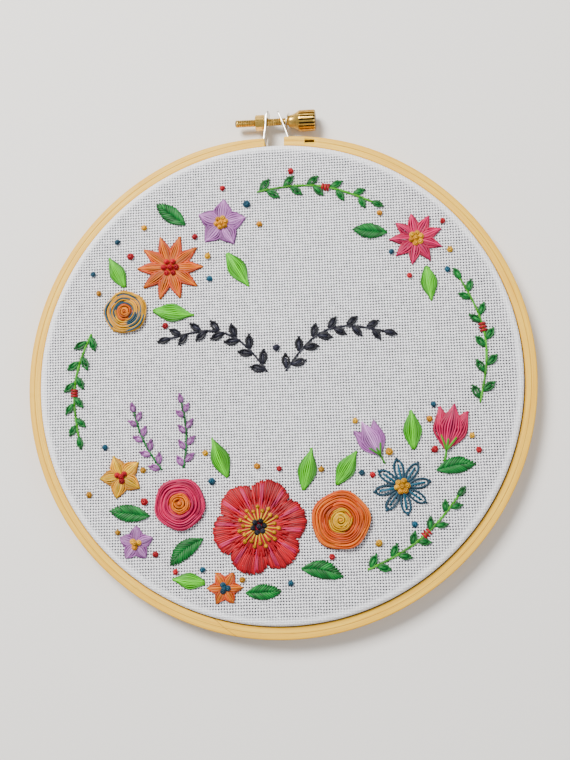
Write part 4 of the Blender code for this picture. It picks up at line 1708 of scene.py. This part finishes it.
@dataclass
class Poppy(Motif):
    """A broad flower of notched petals in long and short stitches, with stamens and dark knots."""

    radius: float
    petals: int = 6
    outer_stitches: int = 132
    inner_stitches: int = 64
    stamens: int = 22
    lengths = ("radius",)

    def layers(self) -> list[Layer]:
        """Petals in three rounds, accents, stamens and a knotted middle."""
        petals, accents, stamens = self.sewing(0.36), self.sewing(0.3, 1), self.sewing(0.24, 2)
        for i in range(self.outer_stitches):
            angle = 360 * i / self.outer_stitches
            ridge = abs(math.cos(math.radians(self.petals * angle / 2))) ** 0.55
            reach = self.radius * (0.8 + 0.2 * ridge) + petals.random.uniform(-0.25, 0.25) * MM
            foot = self.radius * (0.58 if i % 2 else 0.36)
            fold = 0.45 * MM * ridge
            petals.lay(polar(reach, angle), polar(foot, angle), lift=0.35 * MM, base=fold, tone=0.3 * (i % 3))
            if i % 11 in (4, 5):
                start, end = polar(reach * 0.95, angle + 0.8), polar(foot * 0.95, angle)
                accents.lay(start, end, lift=0.5 * MM, base=0.7 * MM, tone=1.0)
        for i in range(self.inner_stitches):
            angle = 360 * (i + 0.5) / self.inner_stitches
            start, end = self.radius * (0.62 if i % 2 else 0.52), self.radius * 0.05
            petals.lay(polar(start, angle), polar(end, angle), lift=0.3 * MM, base=0.75 * MM, tone=0.1)
        tips = []
        for i in range(self.stamens):
            angle = 360 * i / self.stamens
            tip = polar(self.radius * (0.42 if i % 2 else 0.34), angle)
            stamens.lay(polar(0.12 * self.radius, angle), tip, lift=0.2 * MM, base=1.5 * MM, tone=0.6)
            tips.append(Vector((*tip, 1.6 * MM)))
        middle = [Vector((*polar(1.9 * MM, 60 * i), 1.3 * MM)) for i in range(6)]
        middle.append(Vector((0.0, 0.0, 1.5 * MM)))
        return [
            Layer("petals", Thread.RED, petals),
            Layer("accents", Thread.CRIMSON, accents),
            Layer("stamens", Thread.MUSTARD, stamens, tips, 0.24 * MM),
            Layer("heart", Thread.NAVY, None, middle, 0.36 * MM),
        ]


@dataclass
class Daisy(Motif):
    """Petals of long stitches or chain loops round a knotted middle."""

    radius: float
    petals: int
    thread: Thread
    heart: Thread
    looped: bool
    half: float
    heart_knots: int = 7
    strands: int = 5
    lengths = ("radius", "half")

    def layers(self) -> list[Layer]:
        """The petals, a little fill where they are loops, and the heart."""
        petals = self.sewing(0.38)
        round_heart = self.heart_knots - 1
        hearts = [Vector((0.0, 0.0, 0.9 * MM))]
        for i in range(round_heart):
            hearts.append(Vector((*polar(0.19 * self.radius, 360 * i / round_heart), 0.6 * MM)))
        for i in range(self.petals):
            angle = 360 * i / self.petals
            foot, tip = polar((0.16 if self.looped else 0.07) * self.radius, angle), polar(self.radius, angle)
            if self.looped:
                petals.loop(foot, tip - tip.normalized() * 0.4 * MM, self.half)
                petals.lay(foot, tip * 0.8, lift=0.2 * MM, base=0.1 * MM, width=0.95, tone=0.9)
            else:
                petals.almond(foot, tip, self.half, self.strands, 0.35 * MM, (0.0, 0.85))
        return [Layer("petals", self.thread, petals), Layer("heart", self.heart, None, hearts, 0.36 * MM)]


@dataclass
class Leaf(Motif):
    """A leaf from its foot at the motif's place to its tip."""

    length: float
    width: float
    curl: float
    thread: Thread
    pitch: float = 0.86
    lengths = ("length", "width", "pitch")

    def layers(self) -> list[Layer]:
        """A fishbone leaf in dark green, or nested long stitches in light green."""
        stitches = self.sewing(0.36)
        foot, tip, half = Vector((0.0, 0.0)), Vector((self.length, 0.0)), self.width / 2
        if self.thread is Thread.EMERALD:
            stitches.fishbone(foot, tip, half, self.pitch, self.curl)
        else:
            stitches.almond(foot, tip, half - 0.25 * MM, 9, 0.4 * MM, (0.0, 0.9))
        return [Layer("stitches", self.thread, stitches)]


@dataclass
class Tulip(Motif):
    """A cup of three overlapping petals in long stitches."""

    length: float
    thread: Thread
    lengths = ("length",)

    def layers(self) -> list[Layer]:
        """Two side petals, the front petal over them and a short green foot."""
        length, petals, calyx = self.length, self.sewing(0.4), self.sewing(0.34, 1)
        foot = Vector((-0.42 * length, 0.0))
        for sign in (1, -1):
            tip = Vector((0.42 * length, sign * 0.3 * length))
            petals.almond(foot, tip, 0.17 * length, 8, 0.3 * MM, (0.0, 0.35))
        front = Vector((0.5 * length, 0.0))
        petals.almond(foot, front, 0.2 * length, 9, 0.4 * MM, (0.2, 1.0), base=0.55 * MM)
        for degrees in (-34, 0, 34):
            reach = foot + polar(0.3 * length, degrees)
            calyx.lay(foot - Vector((0.06 * length, 0.0)), reach, lift=0.2 * MM, base=0.9 * MM)
        calyx.lay(foot - Vector((0.3 * length, 0.0)), foot, lift=0.1 * MM)
        return [Layer("petals", self.thread, petals), Layer("calyx", Thread.LIME, calyx)]


@dataclass
class Sprig(Motif):
    """A bowed stem with pairs of small leaves or buds."""

    length: float
    bow: float
    pairs: int
    leaf: float
    thread: Thread
    stem: Thread
    trim: Thread | None = None
    lengths = ("length", "leaf")

    def path(self, share: float) -> Vector:
        """A point of the stem."""
        return Vector((self.length * share, self.bow * self.length * math.sin(math.pi * share)))

    def ahead(self, share: float) -> Vector:
        """The stem's direction."""
        return (self.path(share + 0.01) - self.path(share - 0.01)).normalized()

    def layers(self) -> list[Layer]:
        """The leaves, the stem and, on some, short bars across it."""
        leaves, stem = self.sewing(0.4), self.sewing(0.36, 1)
        stem.run([self.path(i / (4 * self.pairs)) for i in range(4 * self.pairs + 1)], 2, 0.4)
        for i in range(self.pairs):
            for sign, offset in ((1, 0.12), (-1, 0.4)):
                share = (i + offset) / self.pairs
                ahead = self.ahead(share)
                side = Vector((-ahead.y, ahead.x)) * sign
                size = self.leaf * (1 - 0.25 * share)
                self._leaf(leaves, self.path(share) + side * 0.3 * MM, ahead * 0.95 + side * 0.8, size)
        self._leaf(leaves, self.path(0.99), self.ahead(0.98), 0.8 * self.leaf)
        made = [Layer("leaves", self.thread, leaves), Layer("stem", self.stem, stem)]
        if self.trim:
            bars = self.sewing(0.38, 2)
            for i in range(3):
                share = (self.pairs // 2 + 0.76 + 0.13 * i) / self.pairs
                middle, ahead = self.path(share), self.ahead(share)
                across = Vector((-ahead.y, ahead.x)) * 1.1 * MM
                bars.lay(middle - across, middle + across, lift=0.3 * MM, base=0.3 * MM)
            made.append(Layer("bars", self.trim, bars))
        return made

    @staticmethod
    def _leaf(leaves: Stitching, foot: Vector, towards: Vector, size: float) -> None:
        """Sews one small leaf: a loop with a stitch down its middle.

        Args:
            leaves: The stitches that it joins.
            foot: Its foot.
            towards: The way that it points.
            size: Its size.
        """
        tip = foot + towards.normalized() * size * 1.7
        leaves.loop(foot, tip, 0.4 * size)
        leaves.lay(foot, foot.lerp(tip, 0.8), lift=0.25 * MM, base=0.15 * MM, tone=0.8)


@dataclass
class Knot(Motif):
    """A lone wound knot."""

    thread: Thread

    def layers(self) -> list[Layer]:
        """The knot."""
        return [Layer("bead", self.thread, None, [Vector((0.0, 0.0, 0.0))], 0.44 * MM)]


@dataclass
class ScatteredKnots(Motif):
    """Small knots of one thread in the gaps between other motifs, with no CAD node of their own."""

    thread: Thread
    places: tuple[Point, ...]
    stands_for_node = False

    def layers(self) -> list[Layer]:
        """The knots."""
        knots = [Vector((x * MM, y * MM, 0.0)) for x, y in self.places]
        return [Layer("knots", self.thread, None, knots, 0.36 * MM)]


def flowers() -> list[Motif]:
    """The roses, the poppy and the smaller flowers."""
    t = Thread
    return [
        Rose("rose_orange", 19.5, -45.5, 10, 9.4, 2.8, t.ORANGE, t.MUSTARD),
        Rose("rose_pink", -31.0, -39.5, 60, 8.4, 2.8, t.PINK, t.ORANGE),
        Rose("rose_mustard", -49.0, 22.8, 30, 7.2, 2.4, t.MUSTARD, t.ORANGE, t.TEAL),
        Poppy("poppy_red", -6.0, -47.0, 12, 14.8),
        Daisy("daisy_teal", 38.6, -35.4, 10, 8.8, 8, t.TEAL, t.MUSTARD, True, 1.35),
        Daisy("daisy_orange", -34.4, 37.2, 0, 11.0, 10, t.ORANGE, t.RED, False, 1.5, 7, 6),
        Daisy("bellflower_lavender", -17.4, 51.4, 12, 8.2, 5, t.LAVENDER, t.MUSTARD, False, 2.5, 7, 8),
        Daisy("star_mustard", -50.0, -30.5, 40, 7.0, 5, t.MUSTARD, t.RED, False, 2.0, 4, 7),
        Daisy("daisy_pink", 45.5, 43.5, 20, 8.4, 9, t.PINK, t.MUSTARD, False, 1.35, 7, 5),
        Daisy("star_orange", -17.0, -65.6, 0, 5.4, 6, t.ORANGE, t.TEAL, False, 1.25, 4, 5),
        Daisy("star_lavender", -45.2, -51.6, 18, 5.6, 5, t.LAVENDER, t.MUSTARD, False, 1.6, 4, 6),
    ]


def leaves() -> list[Motif]:
    """The leaves: name, place, turn, length, width and curl."""
    table = (
        ("leaf_emerald_1", 7.0, -60.0, -12, 13, 5.4, 0.08),
        ("leaf_emerald_2", -24.0, -50.5, -142, 13, 5.4, -0.08),
        ("leaf_emerald_3", 49.5, -30.5, 8, 12, 5.0, 0.05),
        ("leaf_emerald_4", -41.0, -43.0, 172, 13, 5.2, 0.0),
        ("leaf_emerald_5", -29.5, 51.5, 142, 12, 5.2, 0.0),
        ("leaf_lime_1", 8.0, -35.5, 78, 13, 5.4, 0.05),
        ("leaf_lime_2", 18.5, -34.0, 58, 12, 5.2, -0.05),
        ("leaf_lime_3", -16.0, -31.0, 112, 13, 5.4, 0.05),
        ("leaf_lime_4", -15.5, 41.0, -58, 13, 5.4, 0.0),
        ("leaf_lime_5", -39.5, 23.0, -8, 13, 5.4, 0.0),
        ("leaf_lime_6", 42.5, -23.5, 92, 12, 5.2, 0.05),
        ("leaf_lime_7", 48.5, 34.0, -84, 11, 4.8, 0.0),
        ("leaf_lime_8", -23.6, -63.8, 174, 10, 4.6, 0.0),
        ("leaf_lime_9", -49.6, 31.6, 118, 11, 4.6, 0.0),
        ("leaf_emerald_6", 36.2, 46.0, 172, 11, 4.8, 0.0),
        ("leaf_emerald_7", -10.4, -67.2, 2, 11, 4.6, 0.0),
    )
    return [Leaf(*row, Thread.EMERALD if "emerald" in row[0] else Thread.LIME) for row in table]


def stems() -> list[Motif]:
    """The tulips, sprigs and stalks."""
    t = Thread
    greens = (t.EMERALD, t.LIME, t.RED)
    return [
        Tulip("tulip_pink", 54.0, -17.5, 78, 15, t.PINK),
        Tulip("tulip_lavender", 29.5, -20.5, 118, 12, t.LAVENDER),
        Sprig("sprig_right", 63.5, -9.5, 97, 40, -0.12, 5, 2.4, *greens),
        Sprig("sprig_low", 27.5, -60.5, 38, 36, -0.08, 5, 2.2, *greens),
        Sprig("sprig_top", -5.5, 61.5, -8, 38, 0.10, 5, 2.4, *greens),
        Sprig("sprig_left", -60.5, 16.0, -96, 34, -0.10, 5, 2.4, *greens),
        Sprig("stalk_lavender_1", -37.0, -28.5, 116, 21, 0.06, 4, 1.8, t.LAVENDER, t.EMERALD),
        Sprig("stalk_lavender_2", -30.0, -28.0, 92, 21, -0.06, 4, 1.8, t.LAVENDER, t.EMERALD),
        Sprig("sprig_navy_left", -3.0, 2.0, 160, 34, -0.22, 6, 2.5, t.NAVY, t.NAVY),
        Sprig("sprig_navy_right", 3.0, 2.0, 20, 34, 0.22, 6, 2.5, t.NAVY, t.NAVY),
    ]


def knots() -> list[Motif]:
    """The lone knots, the navy one between the two navy sprigs."""
    table = {
        "mustard": ((31.0, -52.5), (35.0, -24.5), (-22.0, 40.5)),
        "red": ((49.0, -24.0), (-47.5, 41.5), (-42.5, -38.5)),
        "teal": ((-9.0, 57.5), (-21.0, -32.5)),
    }
    made = []
    for colour, places in table.items():
        for i, (x, y) in enumerate(places, 1):
            made.append(Knot(f"knot_{colour}_{i}", x, y, 0, Thread[colour.upper()]))
    return [*made, Knot("knot_navy", 0.0, 9.5, 0, Thread.NAVY)]


def scattered() -> list[Motif]:
    """The small knots that fill the gaps between the motifs."""
    table = {
        "mustard": (
            (-43, -28.5), (-23, -23.5), (-11.5, -63.1), (13.7, -29.5), (-6.5, -28), (47.6, -14.5),
            (-60.5, -36), (-51, -48), (-58, 29.5), (-43, 51), (-5, 50.5), (24.5, -14.5), (56, 39.5),
            (60.5, -20), (34, 52.5),
        ),
        "red": (
            (0.5, -29), (-39, -55), (-26.2, 47.2), (-36, 18), (-17, 63.2), (62.5, -24.5), (29.5, -31.5),
            (-32.5, -60.5), (54, 49), (43, 31.5), (5.5, 68), (16.5, -56.5),
        ),
        "teal": (
            (26.3, -30.8), (-55.5, -21), (-24, -60), (-60, 36), (-21.5, 33), (3.5, -64.4), (49, -10),
            (55, 33), (37.5, 39.5), (42, -47), (-52, 46.5),
        ),
    }
    return [
        ScatteredKnots(f"small_knots_{colour}", 0.0, 0.0, 0, Thread[colour.upper()], places)
        for colour, places in table.items()
    ]


@dataclass
class Needlework:
    """All the stitched motifs on the cloth, placed from the hoop's centre."""

    layout: Layout
    strands: int = 3
    groove_depth: float = 0.34
    thread_turns: float = 30.0
    knot_turns: float = 90.0
    step: float = 0.62 * MM
    sunk: float = 0.1 * MM

    def __post_init__(self) -> None:
        """Makes the node trees."""
        self.threads = ThreadTree("laid_threads", knots=False)
        self.beads = ThreadTree("wound_knots", knots=True)

    def build(self) -> None:
        """Sews every motif, then what fills the gaps."""
        for motif in (*flowers(), *leaves(), *stems(), *knots(), *scattered()):
            for i, layer in enumerate(motif.layers()):
                self._sew(motif, layer, (motif.node,) if i == 0 and motif.stands_for_node else ())

    def _sew(self, motif: Motif, layer: Layer, stands_for: tuple[str, ...]) -> None:
        """Turns one layer into a finished piece.

        Args:
            motif: The motif it belongs to.
            layer: The stitches or knots.
            stands_for: The CAD node that it replaces, if any.
        """
        material = layer.thread.value.material()
        place = self.layout.centre + Vector((motif.x, motif.y, self.layout.cloth_top - self.sunk))
        matrix = Matrix.Translation(place) @ Matrix.Rotation(math.radians(motif.turn), 4, "Z")
        values = {"Strands": self.strands, "Groove depth": self.groove_depth, "Material": material}
        joined = bmesh.new()
        if layer.stitching:
            joined.from_mesh(self._threads(matrix, layer.stitching, values))
        if layer.knots:
            joined.from_mesh(self._knots(matrix, layer, motif.seed(), values))
        name = f"{motif.node}_{layer.suffix}"
        finish(name, plain_mesh(name, joined), material, "hoop", layer.thread.slot, *stands_for)

    def _threads(self, matrix: Matrix, stitching: Stitching, values: Mapping[str, object]) -> bpy.types.Mesh:
        """Sweeps the strands of a layer.

        Args:
            matrix: The motif's place.
            stitching: The strands.
            values: The tree's inputs that all layers share.

        Returns:
            The mesh.
        """
        points, edges = [], []
        columns: dict[str, list[float]] = {"width": [], "shade": [], "tone": []}
        for strand in stitching.strands:
            first = len(points)
            points += [matrix @ p for p in strand.points]
            edges += [(i, i + 1) for i in range(first, len(points) - 1)]
            for name in columns:
                columns[name] += [getattr(strand, name)] * len(strand.points)
        own = {"Thread radius": stitching.thread, "Turns per metre": self.thread_turns, "Step": self.step}
        return self.threads.grow(points, edges, columns, {**values, **own})

    def _knots(self, matrix: Matrix, layer: Layer, seed: int, values: Mapping[str, object]) -> bpy.types.Mesh:
        """Sets the knots of a layer.

        Args:
            matrix: The motif's place.
            layer: The layer.
            seed: The seed of their sizes, tones and turns.
            values: The tree's inputs that all layers share.

        Returns:
            The mesh.
        """
        rise = Vector((0.0, 0.0, 3.0 * layer.knot_thread))
        points = [matrix @ (p + rise) for p in layer.knots]
        rng = random.Random(seed)
        ranges = {"width": (0.94, 1.08), "shade": (-1.0, 1.0), "tone": (0.0, 0.6)}
        columns = {name: [rng.uniform(*limits) for _ in points] for name, limits in ranges.items()}
        own = {"Thread radius": layer.knot_thread, "Turns per metre": self.knot_turns, "Seed": seed}
        return self.beads.grow(points, [], columns, {**values, **own})


@dataclass
class Studio:
    """The floor, the lights and the camera."""

    layout: Layout
    image_height: float = 760.0
    focal_pixels: float = 1100.0
    sensor: float = 36.0
    eye: tuple[float, float, float] = (37.5 * MM, -54.6 * MM, 345.4 * MM)
    pitch: float = math.radians(-8.76)
    yaw: float = math.radians(-5.93)
    roll: float = math.radians(0.85)
    floor_size: float = 3.0
    surround: Colour = (0.9, 0.94, 1.0, 1.0)
    surround_strength: float = 0.45

    def build(self) -> None:
        """Makes them all."""
        self.clear()
        self.make_floor()
        self.make_lights()
        self.make_camera()

    @staticmethod
    def clear() -> None:
        """Removes what a new file holds besides the frame."""
        known = {obj.name for obj in (*frame["nodes"].values(), *frame["bodies"].values())}
        for old in list(bpy.data.objects):
            if old.name not in known:
                bpy.data.objects.remove(old)

    def make_floor(self) -> None:
        """A plain pale floor under the hoop."""
        form = bmesh.new()
        bmesh.ops.create_grid(form, x_segments=1, y_segments=1, size=self.floor_size / 2)
        mesh = plain_mesh("floor", form)
        mesh.materials.append(FloorFinish().material())
        link("floor", mesh)

    def make_lights(self) -> None:
        """A broad soft light from the upper left, a weak fill and an even surround."""
        self._light("key", Vector((-0.36, 0.46, 0.85)), 0.4, 25.5, (1.0, 0.985, 0.96))
        self._light("fill", Vector((0.75, -0.25, 0.7)), 0.9, 5.0, (0.93, 0.96, 1.0))
        world = bpy.data.worlds.new("surround")
        bpy.context.scene.world = world
        world.use_nodes = True
        background = world.node_tree.nodes["Background"].inputs
        background["Color"].default_value = self.surround
        background["Strength"].default_value = self.surround_strength

    def _light(self, name: str, place: Vector, size: float, power: float, colour: tuple) -> None:
        """A square light that faces the hoop.

        Args:
            name: The light's name.
            place: Its place.
            size: Its side.
            power: Its power in watts.
            colour: Its colour.
        """
        lamp = bpy.data.lights.new(name, "AREA")
        lamp.size, lamp.energy, lamp.color = size, power, colour
        made = link(name, lamp)
        made.location = place
        made.rotation_euler = (self.layout.centre - place).to_track_quat("-Z", "Y").to_euler()

    def make_camera(self) -> None:
        """A camera nearly overhead, a little to the lower right, as the photo was taken."""
        data = bpy.data.cameras.new("camera")
        data.sensor_width = self.sensor
        data.lens = self.sensor * self.focal_pixels / self.image_height
        data.clip_start = 0.01
        made = link("camera", data)
        turned = Matrix.Rotation(self.pitch, 3, "X") @ Matrix.Rotation(self.yaw, 3, "Y")
        turned = turned @ Matrix.Rotation(self.roll, 3, "Z")
        place = self.layout.centre + Vector((0.0, 0.0, self.layout.rim_top)) + Vector(self.eye)
        made.matrix_world = Matrix.Translation(place) @ turned.transposed().to_4x4()
        bpy.context.scene.camera = made


def main() -> None:
    """Builds the studio and then the object, piece by piece."""
    logging.basicConfig(level=logging.INFO, format="%(name)s: %(message)s")
    layout = Layout.read()
    Studio(layout).build()
    WoodenHoop(layout).build()
    StretchedCloth(layout).build()
    Hardware(layout).build()
    Needlework(layout).build()


if __name__ == "__main__":
    main()
